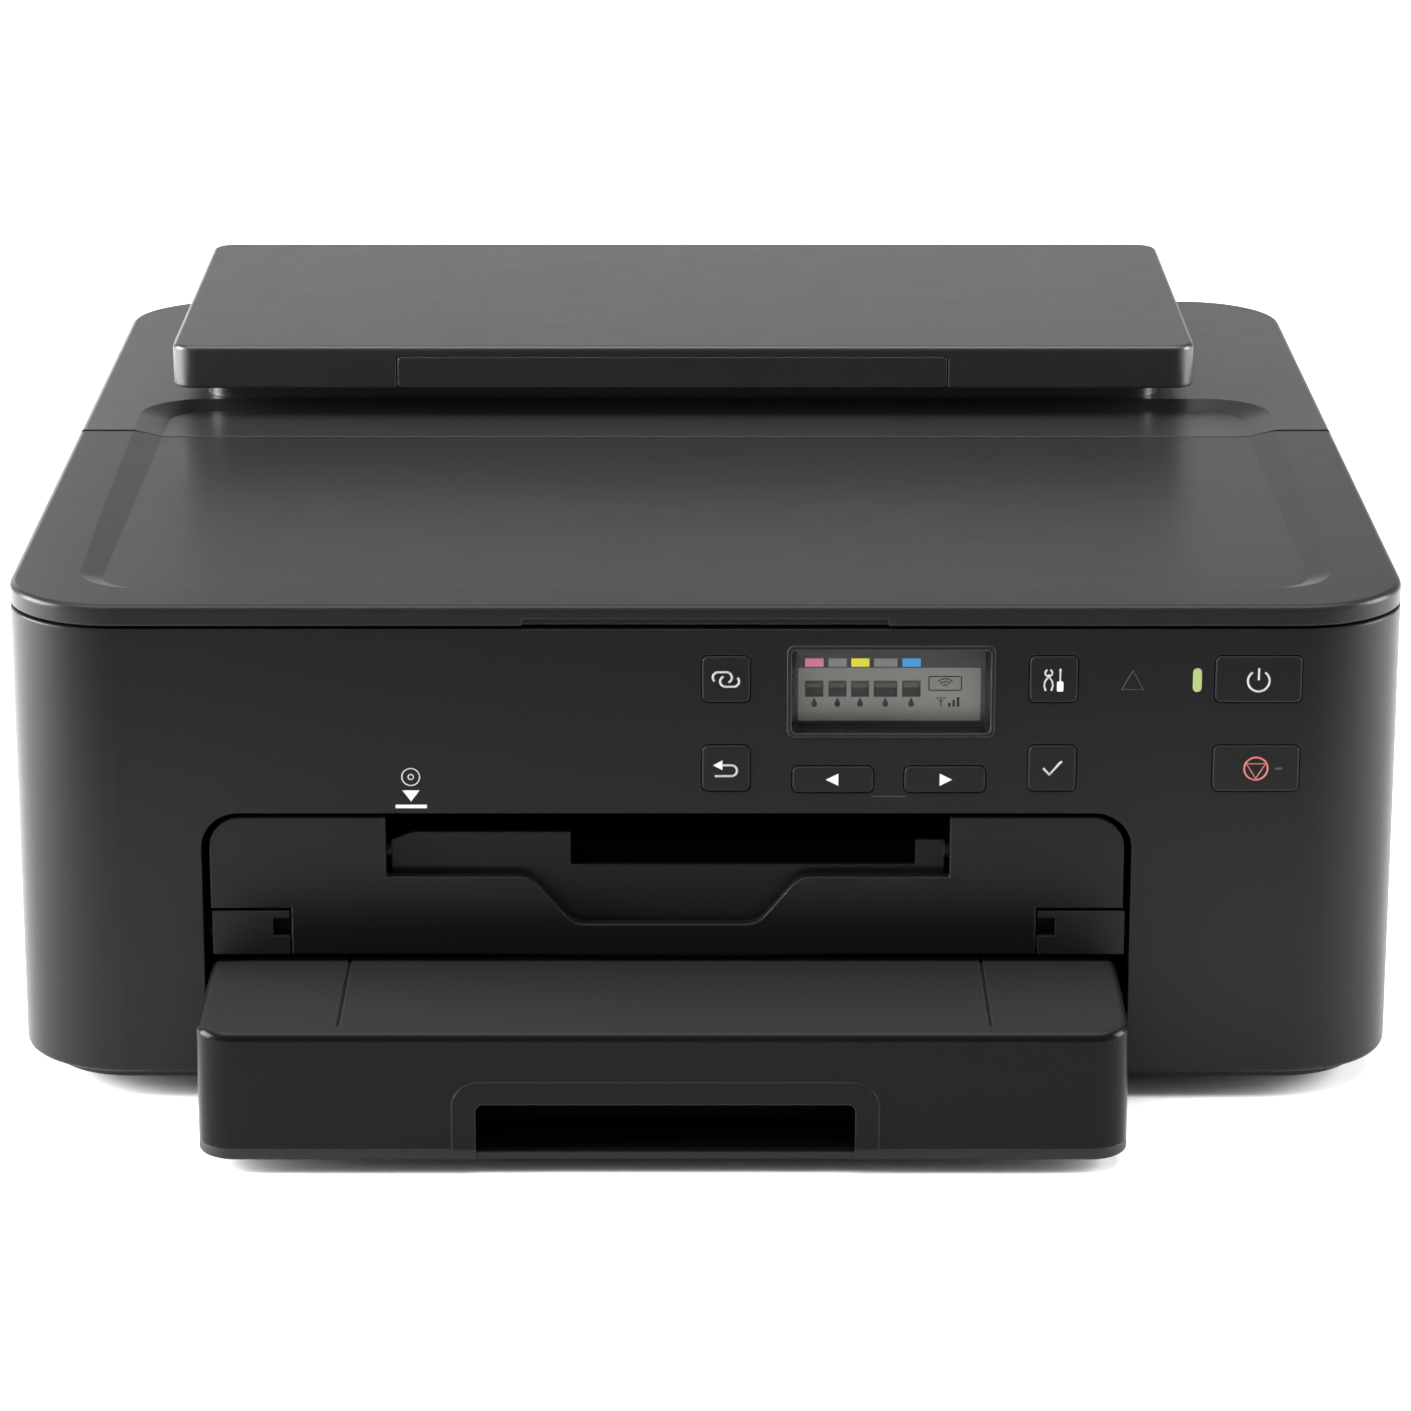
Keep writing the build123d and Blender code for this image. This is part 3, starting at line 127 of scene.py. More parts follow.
def moulded(name, colour, rough, grain=0.45, depth=0.012, edge_highlight=1.6, specular=0.5, top_light=0.0, glow=None):
    """Moulded plastic: a fine spark-eroded grain, slow colour drift, handled patches, a painted highlight on
    the edges and, if asked, painted light on the upward faces.

    grain is the size of the grain and depth its height, both in millimetres. The edge and top factors are how
    many times lighter the edges (painted highlight) and the upward faces (painted light) are, with 0 for no
    painted top light. glow is a colour and a strength.
    """
    material, tree, shader = new_material(name)
    where = tree.nodes.new("ShaderNodeTexCoord").outputs["Object"]
    drift = node(tree, "ShaderNodeTexNoise", Scale=9.0, Detail=3.0, Roughness=0.5)
    smears = node(tree, "ShaderNodeTexNoise", Scale=90.0, Detail=6.0, Roughness=0.65)
    speckle = node(tree, "ShaderNodeTexNoise", Scale=1.0 / (grain * MM), Detail=2.0, Roughness=0.7)
    for texture in (drift, smears, speckle):
        tree.links.new(where, texture.inputs["Vector"])
    body = ramp(tree, drift.outputs["Fac"], [(0.3, tinted(colour, 0.96)), (0.7, tinted(colour, 1.04))])
    rounded, on_edge = soft_edges(tree, EDGE_RADIUS)
    # Painted light: faces turned up are drawn in a lighter colour.
    if top_light:
        body = upward(tree, body, colour, top_light)
    # Painted highlight: the edges are drawn in a lighter colour.
    highlit = mixed(tree, on_edge, body, tinted(colour, edge_highlight))
    tree.links.new(highlit, shader.inputs["Base Color"])
    polish = ramp(tree, smears.outputs["Fac"],
                  [(0.35, grey(rough - SMEAR_DEPTH)), (0.68, grey(rough + SMEAR_DEPTH))])
    tree.links.new(polish, shader.inputs["Roughness"])
    bump = node(tree, "ShaderNodeBump", Strength=1.0, Distance=depth * MM)
    tree.links.new(rounded, bump.inputs["Normal"])
    tree.links.new(speckle.outputs["Fac"], bump.inputs["Height"])
    tree.links.new(bump.outputs["Normal"], shader.inputs["Normal"])
    shader.inputs["Specular IOR Level"].default_value = specular
    if glow:
        shader.inputs["Emission Color"].default_value = (*glow[0], 1.0)
        shader.inputs["Emission Strength"].default_value = glow[1]
    return material


def brushed(name, colour, rough):
    """Rolled sheet steel: fine lines along X, with a faint zinc bloom."""
    material, tree, shader = new_material(name)
    where = tree.nodes.new("ShaderNodeTexCoord").outputs["Object"]
    stretch = node(tree, "ShaderNodeMapping", Scale=(12.0, 1400.0, 1400.0))
    lines = node(tree, "ShaderNodeTexNoise", Scale=1.0, Detail=4.0, Roughness=0.6)
    bloom = node(tree, "ShaderNodeTexNoise", Scale=60.0, Detail=4.0, Roughness=0.6)
    tree.links.new(where, stretch.inputs["Vector"])
    tree.links.new(stretch.outputs["Vector"], lines.inputs["Vector"])
    tree.links.new(where, bloom.inputs["Vector"])
    tone = ramp(tree, bloom.outputs["Fac"], [(0.3, tinted(colour, 0.85)), (0.7, tinted(colour, 1.1))])
    tree.links.new(tone, shader.inputs["Base Color"])
    sheen = ramp(tree, lines.outputs["Fac"], [(0.3, grey(rough - 0.08)), (0.7, grey(rough + 0.1))])
    tree.links.new(sheen, shader.inputs["Roughness"])
    bump = node(tree, "ShaderNodeBump", Strength=0.5, Distance=0.01 * MM)
    tree.links.new(lines.outputs["Fac"], bump.inputs["Height"])
    tree.links.new(bump.outputs["Normal"], shader.inputs["Normal"])
    shader.inputs["Metallic"].default_value = 1.0
    return material


def circuit(name):
    """A circuit board: green lacquer over paler copper tracks."""
    material, tree, shader = new_material(name)
    where = tree.nodes.new("ShaderNodeTexCoord").outputs["Object"]
    tracks = node(tree, "ShaderNodeTexVoronoi", Scale=260.0)
    tracks.distance = "CHEBYCHEV"
    tracks.feature = "DISTANCE_TO_EDGE"
    tree.links.new(where, tracks.inputs["Vector"])
    tone = ramp(tree, tracks.outputs["Distance"],
                [(0.05, (0.02, 0.10, 0.045)), (0.09, (0.05, 0.22, 0.09)), (0.14, (0.015, 0.085, 0.04))])
    tree.links.new(tone, shader.inputs["Base Color"])
    gloss = ramp(tree, tracks.outputs["Distance"], [(0.05, grey(0.28)), (0.15, grey(0.4))])
    tree.links.new(gloss, shader.inputs["Roughness"])
    bump = node(tree, "ShaderNodeBump", Strength=0.6, Distance=0.03 * MM)
    tree.links.new(tracks.outputs["Distance"], bump.inputs["Height"])
    tree.links.new(bump.outputs["Normal"], shader.inputs["Normal"])
    return material


def clear(name):
    """The display's clear cover, with faint finger marks in its gloss."""
    material, tree, shader = new_material(name)
    where = tree.nodes.new("ShaderNodeTexCoord").outputs["Object"]
    marks = node(tree, "ShaderNodeTexNoise", Scale=120.0, Detail=4.0, Roughness=0.6)
    tree.links.new(where, marks.inputs["Vector"])
    tint = ramp(tree, marks.outputs["Fac"], [(0.3, (0.10, 0.105, 0.10)), (0.7, (0.12, 0.12, 0.115))])
    tree.links.new(tint, shader.inputs["Base Color"])
    haze = ramp(tree, marks.outputs["Fac"], [(0.4, grey(0.08)), (0.65, grey(0.16))])
    tree.links.new(haze, shader.inputs["Roughness"])
    shader.inputs["Alpha"].default_value = 0.12
    return material


BLACK = (0.0072, 0.0072, 0.0074)
TOP_BLACK = (0.0125, 0.0125, 0.0128)
INNER = (0.0065, 0.0065, 0.0068)
# Each entry's edge factor is a painted highlight: a lighter colour on the edges.
MATERIALS = {
    "case": moulded("case_black", BLACK, 0.34, grain=0.40, depth=0.008, edge_highlight=4.0, specular=0.12),
    "top": moulded("top_black", TOP_BLACK, 0.33, grain=0.35, depth=0.006, edge_highlight=3.2, specular=0.42),
    "lid": moulded("lid_black", TOP_BLACK, 0.30, grain=0.60, depth=0.0015, edge_highlight=3.6, specular=0.12),
    "front": moulded("front_black", tinted(BLACK, 0.9), 0.32, grain=0.40, depth=0.006, edge_highlight=8.0,
                     specular=0.12),
    # The cassette's top factor is painted light on its upward faces.
    "cassette": moulded("cassette_black", tinted(BLACK, 0.55), 0.22, grain=0.35, depth=0.004, edge_highlight=9.0,
                        specular=0.06, top_light=4.0),
    "inner": moulded("inner_black", INNER, 0.5, grain=0.6, depth=0.015, edge_highlight=2.0, specular=0.2),
    "guide": moulded("guide_grey", grey(0.055), 0.45, grain=0.5, depth=0.012, edge_highlight=1.5),
    "key": moulded("key_black", grey(0.007), 0.34, grain=0.30, depth=0.006, edge_highlight=9.0, specular=0.12),
    "bezel": moulded("bezel_black", grey(0.009), 0.28, grain=0.30, depth=0.004, edge_highlight=10.0, specular=0.12),
    "foot": moulded("foot_rubber", grey(0.018), 0.75, grain=0.25, depth=0.02, edge_highlight=1.4, specular=0.3),
    "roller": moulded("roller_rubber", grey(0.06), 0.62, grain=0.20, depth=0.02, edge_highlight=1.3, specular=0.3),
    "gear": moulded("gear_white", (0.70, 0.70, 0.66), 0.38, grain=0.8, depth=0.006, edge_highlight=1.05),
    "pulley": moulded("pulley_natural", (0.58, 0.55, 0.47), 0.40, grain=0.8, depth=0.006, edge_highlight=1.05),
    "belt": moulded("belt_black", grey(0.02), 0.6, grain=0.5, depth=0.05, edge_highlight=1.5, specular=0.3),
    "supply": moulded("supply_black", grey(0.02), 0.45, grain=0.7, depth=0.02, edge_highlight=1.5),
    "tank_black": moulded("tank_black", grey(0.02), 0.35, grain=0.6, depth=0.008, edge_highlight=1.5),
    "tank_grey": moulded("tank_grey", grey(0.16), 0.35, grain=0.6, depth=0.008, edge_highlight=1.3),
    "tank_cyan": moulded("tank_cyan", (0.0, 0.28, 0.52), 0.32, grain=0.6, depth=0.008, edge_highlight=1.2),
    "tank_magenta": moulded("tank_magenta", (0.50, 0.03, 0.20), 0.32, grain=0.6, depth=0.008, edge_highlight=1.2),
    "tank_yellow": moulded("tank_yellow", (0.78, 0.58, 0.02), 0.32, grain=0.6, depth=0.008, edge_highlight=1.1),
    "lamp": moulded("lamp_green", (0.28, 0.38, 0.13), 0.30, grain=0.4, depth=0.004, edge_highlight=1.1,
                    glow=((0.36, 0.48, 0.18), 0.10)),
    "white": moulded("print_white", grey(0.72), 0.5, grain=0.2, depth=0.003, edge_highlight=1.0),
    "red": moulded("print_red", (0.78, 0.17, 0.16), 0.5, grain=0.2, depth=0.003, edge_highlight=1.0),
    "dim": moulded("print_dim", grey(0.05), 0.5, grain=0.2, depth=0.003, edge_highlight=1.0),
    "slate": moulded("print_slate", (0.03, 0.035, 0.055), 0.5, grain=0.2, depth=0.003, edge_highlight=1.0),
    "ink_mark": moulded("display_ink", grey(0.012), 0.5, grain=0.1, depth=0.002, edge_highlight=1.0, specular=0.2),
    "ink_soft": moulded("display_ink_soft", grey(0.055), 0.5, grain=0.1, depth=0.002, edge_highlight=1.0, specular=0.2),
    "mask": moulded("display_mask", grey(0.02), 0.4, grain=0.3, depth=0.004, edge_highlight=1.0),
    "lcd": moulded("display_grey", (0.22, 0.225, 0.205), 0.5, grain=0.12, depth=0.003, edge_highlight=1.0, specular=0.2,
                   glow=((0.24, 0.245, 0.22), 0.20)),
    "label": moulded("label_silver", grey(0.34), 0.42, grain=0.5, depth=0.004, edge_highlight=1.1),
    "steel": brushed("sheet_steel", (0.56, 0.57, 0.58), 0.32),
    "board": circuit("circuit_board"),
    "window": clear("display_cover"),
}
TABS = {"pink": (0.80, 0.22, 0.43), "grey": grey(0.22), "yellow": (0.92, 0.86, 0.03),
        "cyan": (0.03, 0.38, 0.88)}
for tab, colour in TABS.items():
    MATERIALS[f"tab_{tab}"] = moulded(f"tab_{tab}", colour, 0.5, grain=0.2, depth=0.002, edge_highlight=1.0,
                                      glow=(colour, 0.25))
FINISH = {
    "case": ["outer_case", "rear_panel", "rear_cover"],
    "top": ["rear_top_frame", "rear_tray_cover", "paper_support"],
    "lid": ["top_cover"],
    "front": ["output_tray"],
    "cassette": ["cassette_front"],
    "inner": ["base_frame", "tray_cover_liner", "rear_tray", "output_flap", "middle_frame", "upper_deck",
              "pinch_roller_holder", "platen", "carriage", "cassette_front_base", "cassette_tray"],
    "guide": ["rear_guide_left", "rear_guide_right", "cassette_guide_left", "cassette_guide_right",
              "cassette_length_guide", "pickup_arm", "purge_unit"],
    "key": [f"{name}_button" for name in BUTTONS],
    "bezel": ["display_bezel"],
    "foot": ["rubber_feet"],
    "roller": ["rear_feed_roller", "feed_roller", "eject_roller", "pinch_rollers", "pickup_roller"],
    "gear": ["idler_gear"],
    "pulley": ["motor_pinion", "drive_pulley", "idler_pulley"],
    "belt": ["carriage_belt"],
    "supply": ["power_supply"],
    "steel": ["side_plates", "feed_motor", "carriage_rail", "carriage_motor"],
    "board": ["circuit_boards"],
    "lamp": ["power_lamp"],
    "window": ["display_window"],
    "tank_black": ["ink_tank_large_black"],
    "tank_grey": ["ink_tank_black"],
    "tank_cyan": ["ink_tank_cyan"],
    "tank_magenta": ["ink_tank_magenta"],
    "tank_yellow": ["ink_tank_yellow"],
}
# The metal USB socket is what stands above the main board behind this line, in millimetres.
USB_FRONT_Y, MAIN_BOARD_TOP = 192.0, 17.7


def paint_nodes():
    """Gives every CAD node its material."""
    for finish, names in FINISH.items():
        for name in names:
            obj = NODES[name]
            obj.data.materials.clear()
            obj.data.materials.append(MATERIALS[finish])
    boards = NODES["circuit_boards"]
    boards.data.materials.append(MATERIALS["steel"])
    for polygon in boards.data.polygons:
        spot = boards.matrix_world @ polygon.center
        in_socket = spot.y > USB_FRONT_Y * MM and spot.z > MAIN_BOARD_TOP * MM
        polygon.material_index = 1 if in_socket else 0


# ---------------------------------------------------------------- flat shapes


def mesh_piece(name, mesh, material, body):
    """Makes an object of a mesh and lets it ride on a body."""
    obj = bpy.data.objects.new(name, mesh)
    bpy.context.scene.collection.objects.link(obj)
    obj.data.materials.clear()
    obj.data.materials.append(MATERIALS[material])
    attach(obj, body)


def flat_mesh(loops=(), strokes=(), width=0.55, thick=0.02):
    """A thin mesh in its own XY plane, facing +Z, of filled loops and of strokes with round ends.

    Loops are (x, y) lists in millimetres; a loop inside another is a hole. Strokes are (points, closed).
    """
    parts = []
    if loops:
        curve = bpy.data.curves.new("loops", "CURVE")
        curve.dimensions = "2D"
        curve.fill_mode = "BOTH"
        curve.extrude = thick * MM / 2
        for loop in loops:
            add_spline(curve, loop, True)
        parts.append((curve, 1.0))
    if strokes:
        curve = bpy.data.curves.new("strokes", "CURVE")
        curve.dimensions = "3D"
        curve.bevel_depth = width * MM / 2
        curve.bevel_resolution = 3
        curve.use_fill_caps = True
        for points, closed in strokes:
            add_spline(curve, points, closed)
        parts.append((curve, thick / width))
    return joined_curves(parts)


def add_spline(curve, points, closed):
    """A straight-sided spline through points in millimetres."""
    spline = curve.splines.new("POLY")
    spline.points.add(len(points) - 1)
    for target, (x, y) in zip(spline.points, points):
        target.co = (x * MM, y * MM, 0.0, 1.0)
    spline.use_cyclic_u = closed


def joined_curves(parts):
    """One mesh of several curves, each flattened in Z by its factor."""
    vertices, faces = [], []
    for curve, flatten in parts:
        holder = bpy.data.objects.new("holder", curve)
        made = bpy.data.meshes.new_from_object(holder)
        start = len(vertices)
        vertices += [(v.co.x, v.co.y, v.co.z * flatten) for v in made.vertices]
        faces += [[start + index for index in polygon.vertices] for polygon in made.polygons]
        bpy.data.objects.remove(holder)
        bpy.data.meshes.remove(made)
        bpy.data.curves.remove(curve)
    mesh = bpy.data.meshes.new("flat")
    mesh.from_pydata(vertices, [], faces)
    return mesh


FACING_FRONT = Matrix.Rotation(radians(90), 4, "X")


def flat_piece(name, material, body, matrix, **shapes):
    """A thin shape laid anywhere by a matrix that carries its own XY plane there."""
    mesh = flat_mesh(**shapes)
    mesh.transform(matrix)
    mesh_piece(name, mesh, material, body)


def front_mark(name, material, body, at, **shapes):
    """A printed mark that faces the front, centred on a point, just proud of it."""
    place = Matrix.Translation(Vector(at) - Vector((0, RELIEF / 2, 0)))
    flat_piece(name, material, body, place @ FACING_FRONT, **shapes)


def arc(centre, radius, start, end, steps=24):
    """Points along an arc, with angles in degrees."""
    turns = [radians(start + (end - start) * step / steps) for step in range(steps + 1)]
    return [(centre[0] + radius * cos(t), centre[1] + radius * sin(t)) for t in turns]


def box_loop(x, y, radius=0.0):
    """A rectangle's loop between two x and two y values, with rounded corners."""
    if not radius:
        return [(x[0], y[0]), (x[1], y[0]), (x[1], y[1]), (x[0], y[1])]
    corners = [(x[1] - radius, y[0] + radius, -90), (x[1] - radius, y[1] - radius, 0),
               (x[0] + radius, y[1] - radius, 90), (x[0] + radius, y[0] + radius, 180)]
    return [point for cx, cy, turn in corners for point in arc((cx, cy), radius, turn, turn + 90, 6)]


def capsule(centre, length, height, start, end):
    """Part of a round-ended outline, from one fraction of its way round to another."""
    radius, straight = height / 2, length - height
    points = arc((centre[0] + straight / 2, centre[1]), radius, -90, 90, 16)
    points += arc((centre[0] - straight / 2, centre[1]), radius, 90, 270, 16)
    points.append(points[0])
    count = len(points) - 1
    return [points[step % count] for step in range(int(start * count), int(end * count) + 1)]


# ---------------------------------------------------------------- buttons, lamp and printed marks


def button_face(name):
    """The middle of a button's front face."""
    low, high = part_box(f"{name}_button")
    return (low[0] + high[0]) / 2, low[1], (low[2] + high[2]) / 2


def button_marks():
    """The symbols printed on the eight buttons."""
    left_link = capsule((-0.95, 0.55), 5.0, 2.9, 0.06, 0.86)
    right_link = capsule((0.95, -0.55), 5.0, 2.9, 0.56, 1.36)
    plier = (-1.35, 0.9)
    jaw = ((0.1, 0.6), (0.85, 1.35), (0.95, 2.0), (0.45, 2.75))
    grip = ((0.0, 0.8), (0.95, -0.5), (1.15, -1.7), (0.75, -3.1))
    pliers = [([(plier[0] + side * x, y) for x, y in half], False)
              for half in (jaw, grip) for side in (-1, 1)]
    symbols = {
        "link": ("white", dict(strokes=[(left_link, False), (right_link, False)], width=0.62)),
        "back": ("white", dict(
            loops=[[(-3.4, 0.9), (-0.9, -0.45), (-0.9, 2.3)]],
            strokes=[([(-1.0, 0.9), *arc((1.45, -0.6), 1.5, 90, -90), (-2.9, -2.1)], False)], width=0.62)),
        "left": ("white", dict(loops=[[(-1.95, 0), (1.45, -1.7), (1.45, 1.7)]])),
        "right": ("white", dict(loops=[[(1.95, 0), (-1.35, 1.7), (-1.35, -1.7)]])),
        "setup": ("white", dict(
            loops=[box_loop((0.85, 2.55), (-3.3, -0.5), 0.35), box_loop((1.52, 1.88), (-0.6, 2.4)),
                   [(1.35, 2.3), (2.05, 2.3), (1.85, 2.95), (1.55, 2.95)], arc(plier, 0.5, 0, 345, 16)],
            strokes=pliers, width=0.5)),
        "ok": ("white", dict(strokes=[([(-2.3, 0.1), (-0.7, -1.7), (2.5, 2.0)], False)], width=0.7)),
        "power": ("white", dict(
            strokes=[(arc((0, -0.4), 2.85, 125, 415, 40), False), ([(0, 3.1), (0, -0.2)], False)],
            width=0.58)),
        "stop": ("red", dict(
            strokes=[(arc((0, 0), 3.1, 0, 351, 40), True),
                     ([(-2.55, 1.35), (2.55, 1.35), (0, -2.75)], True)], width=0.5)),
    }
    for name, (material, shapes) in symbols.items():
        front_mark(f"{name}_symbol", material, f"{name}_button", button_face(name), **shapes)
    left, right = button_face("left"), button_face("right")
    low_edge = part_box("left_button")[0][2]
    between = ((left[0] + right[0]) / 2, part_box("outer_case")[0][1], low_edge)
    front_mark("arrow_key_line", "dim", "printer", between,
               loops=[box_loop((-4.6, 4.6), (-0.1, 0.1))])
    x, y, z = button_face("stop")
    dash_shift = 6.0 * MM
    front_mark("stop_dash", "slate", "stop_button", (x + dash_shift, y, z),
               loops=[box_loop((-0.9, 0.9), (-0.3, 0.3))])


ALERT_AT = (112.4, 118.0)  # x and z of the plain triangle, in millimetres
DISC_X, RINGS_Z, ARROW_Z, BAR_Z = -78.0, 91.3, 86.1, 83.1  # places of the disc's marks, in millimetres


def case_marks():
    """A plain triangle by the lamp, and the disc, arrow and bar over the output tray."""
    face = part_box("outer_case")[0][1]

    def mark(name, material, x, z, **shapes):
        front_mark(name, material, "printer", (x * MM, face, z * MM), **shapes)

    mark("alert_triangle", "dim", *ALERT_AT, strokes=[([(-2.9, -2.5), (2.9, -2.5), (0, 2.7)], True)],
         width=0.34)
    rings = [(arc((0, 0), radius, 0, 351, 40), True) for radius in (2.35, 0.7)]
    mark("disc_rings", "white", DISC_X, RINGS_Z, strokes=rings, width=0.34)
    mark("disc_arrow", "white", DISC_X, ARROW_Z, loops=[[(-2.3, 1.5), (2.3, 1.5), (0, -1.6)]])
    mark("disc_bar", "white", DISC_X, BAR_Z, loops=[box_loop((-4.15, 4.15), (-0.5, 0.5))])


# ---------------------------------------------------------------- display


LAYER_BACK, LAYER_STEP = 0.22, 0.04  # depth of the display's first layer behind the cover, and between layers
TAB_Z, LEVEL_Z = (4.9, 7.2), (-3.4, 0.0)  # heights of the tanks' coloured tabs and of their ink
TICK_PITCH, TICK_SPACE = 0.6, 0.62  # hatching over a tank: from stroke to stroke, and the room each one takes


def display_picture():
    """The picture behind the display's clear cover, in layers from the back."""
    low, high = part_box("display_window")
    x, z = (low[0] + high[0]) / 2, (low[2] + high[2]) / 2
    back = high[1]

    def layer(name, material, step, **shapes):
        front_mark(name, material, "printer", (x, back + (LAYER_BACK - LAYER_STEP * step) * MM, z), **shapes)

    layer("display_mask_plate", "mask", 0, loops=[box_loop((-26.2, 26.2), (-11.4, 11.4), 0.6)])
    layer("display_panel", "lcd", 1, loops=[box_loop((-24.4, 23.9), (-10.0, 4.6), 0.5)])
    tanks = [("magenta", -22.6, 4.9, "tab_pink"), ("black", -16.4, 4.8, "tab_grey"),
             ("yellow", -10.4, 4.8, "tab_yellow"), ("large_black", -4.4, 6.2, "tab_grey"),
             ("cyan", 3.1, 4.9, "tab_cyan")]
    for name, start, width, tab in tanks:
        end = start + width
        layer(f"display_tab_{name}", tab, 2, loops=[box_loop((start, end), TAB_Z)])
        layer(f"display_level_{name}", "ink_mark", 2, loops=[box_loop((start, end), LEVEL_Z)])
        layer(f"display_space_{name}", "ink_soft", 3, loops=[box_loop((start + 0.3, end - 0.3), (-0.9, 0.9))],
              strokes=[(box_loop((start + 0.12, end - 0.12), (-3.3, 0.95)), True)], width=0.24)
        ticks = [start + TICK_PITCH + TICK_PITCH * tick for tick in range(int(width / TICK_SPACE) - 1)]
        layer(f"display_foam_{name}", "lcd", 4,
              strokes=[([(tick, -0.65), (tick + 0.3, 0.25)], False) for tick in ticks], width=0.16)
        drop = ((start + end) / 2, -5.4)
        layer(f"display_drop_{name}", "ink_mark", 2,
              loops=[[*arc(drop, 0.8, -210, 30, 16), (drop[0], drop[1] + 1.9)]])
    layer("display_badge", "ink_mark", 2, strokes=[
        (box_loop((10.2, 18.8), (-1.6, 2.2), 0.4), True),
        *[(arc((14.5, -0.9), radius, 40, 140, 10), False) for radius in (0.9, 1.7, 2.5)]], width=0.28)
    bars = [(15.3 + 1.15 * bar, -5.1 + 0.8 * bar) for bar in range(3)]
    layer("display_signal", "ink_mark", 2,
          loops=[box_loop((start, start + 0.7), (-6.1, top)) for start, top in bars],
          strokes=[([(12.2, -3.6), (14.6, -3.6), (13.4, -4.9)], True), ([(13.4, -3.6), (13.4, -6.1)], False)],
          width=0.3)


# ---------------------------------------------------------------- rear, underside and inside details


def screw(name, body, at, turn):
    """A cross-head screw of 5.6 mm, whose head faces along the turned +Z."""
    radius, height, steps = 2.8 * MM, 1.4 * MM, 32
    slot_half, slot_reach, slot_deep, slot_taper = 0.38 * MM, 1.5 * MM, 0.9 * MM, 0.7
    rings = [(radius, 0.0), (radius, height * 0.45), (radius * 0.8, height * 0.85), (radius * 0.62, height)]
    vertices = [(r * cos(tau * s / steps), r * sin(tau * s / steps), h)
                for r, h in rings for s in range(steps)]
    faces = [[ring * steps + s, ring * steps + (s + 1) % steps, (ring + 1) * steps + (s + 1) % steps,
              (ring + 1) * steps + s] for ring in range(len(rings) - 1) for s in range(steps)]
    arm = [(slot_half, slot_reach), (-slot_half, slot_reach), (-slot_half, slot_half)]
    quarter_turns = ((1, 0), (0, 1), (-1, 0), (0, -1))
    cross = [(x * c - y * q, x * q + y * c) for c, q in quarter_turns for x, y in arm]
    mesh = bpy.data.meshes.new(name)
    start = len(vertices)
    vertices += [(x, y, height) for x, y in cross]
    vertices += [(x * slot_taper, y * slot_taper, height - slot_deep) for x, y in cross]
    count = len(cross)
    faces += [[start + i, start + count + i, start + count + (i + 1) % count, start + (i + 1) % count]
              for i in range(count)]
    faces.append([start + count + i for i in range(count)])
    mesh.from_pydata(vertices, [], faces)
    fill_ring(mesh, [start - steps + s for s in range(steps)], [start + i for i in range(count)])
    mesh.transform(Matrix.Translation(Vector(at)) @ turn)
    mesh_piece(name, mesh, "steel", body)


def fill_ring(mesh, outer, inner):
    """Fills the flat face between an outer and an inner loop of vertices."""
    work = bmesh.new()
    work.from_mesh(mesh)
    work.verts.ensure_lookup_table()
    edges = []
    for loop in (outer, inner):
        for one, two in zip(loop, loop[1:] + loop[:1]):
            pair = (work.verts[one], work.verts[two])
            edges.append(work.edges.get(pair) or work.edges.new(pair))
    bmesh.ops.triangle_fill(work, edges=edges, use_beauty=True)
    bmesh.ops.recalc_face_normals(work, faces=work.faces)
    work.to_mesh(mesh)
    work.free()


def underside_screws():
    """Six screws under the base, whose heads stay above the feet."""
    low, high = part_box("base_frame")
    inset = 22 * MM
    for side, x in (("left", low[0] + inset), ("right", high[0] - inset)):
        for place, share in (("front", 0.22), ("middle", 0.5), ("rear", 0.78)):
            y = low[1] + share * (high[1] - low[1])
            screw(f"base_screw_{side}_{place}", "printer", (x, y, low[2]), Matrix.Rotation(pi, 4, "X"))


REAR_PLATE_X, REAR_PLATE_Z, BASE_PLATE_Y = -133, 72, 130  # middles of the plates, in millimetres


def blank_plates():
    """A blank silver plate on the rear panel and one under the base."""
    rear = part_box("rear_panel")
    facing_rear = Matrix.Rotation(pi, 4, "Z") @ FACING_FRONT
    rear_place = Matrix.Translation((REAR_PLATE_X * MM, rear[1][1], REAR_PLATE_Z * MM))
    flat_piece("rear_plate", "label", "printer", rear_place @ facing_rear,
               loops=[box_loop((-14, 14), (-9, 9), 1.2)])
    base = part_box("base_frame")
    facing_down = Matrix.Rotation(pi, 4, "X")
    base_place = Matrix.Translation((0, BASE_PLATE_Y * MM, base[0][2]))
    flat_piece("base_plate", "label", "printer", base_place @ facing_down,
               loops=[box_loop((-34, 34), (-16, 16), 1.5)])


# ---------------------------------------------------------------- stage, light and camera


FLOOR_DARK, FLOOR_FADE_Y = grey(0.05), (-0.55, -0.38)  # dark ahead of the picture, pale from there on
WALL_DARK, WALL_FADE_Z = grey(0.16), (0.25, 1.10)  # the backdrop is pale below and darker above


def rising(tree, source, limits):
    """A value that goes from 0 to 1 while a socket's value goes from one limit to the other."""
    made = node(tree, "ShaderNodeMapRange", From_Min=limits[0], From_Max=limits[1])
    tree.links.new(source, made.inputs["Value"])
    return made.outputs["Result"]


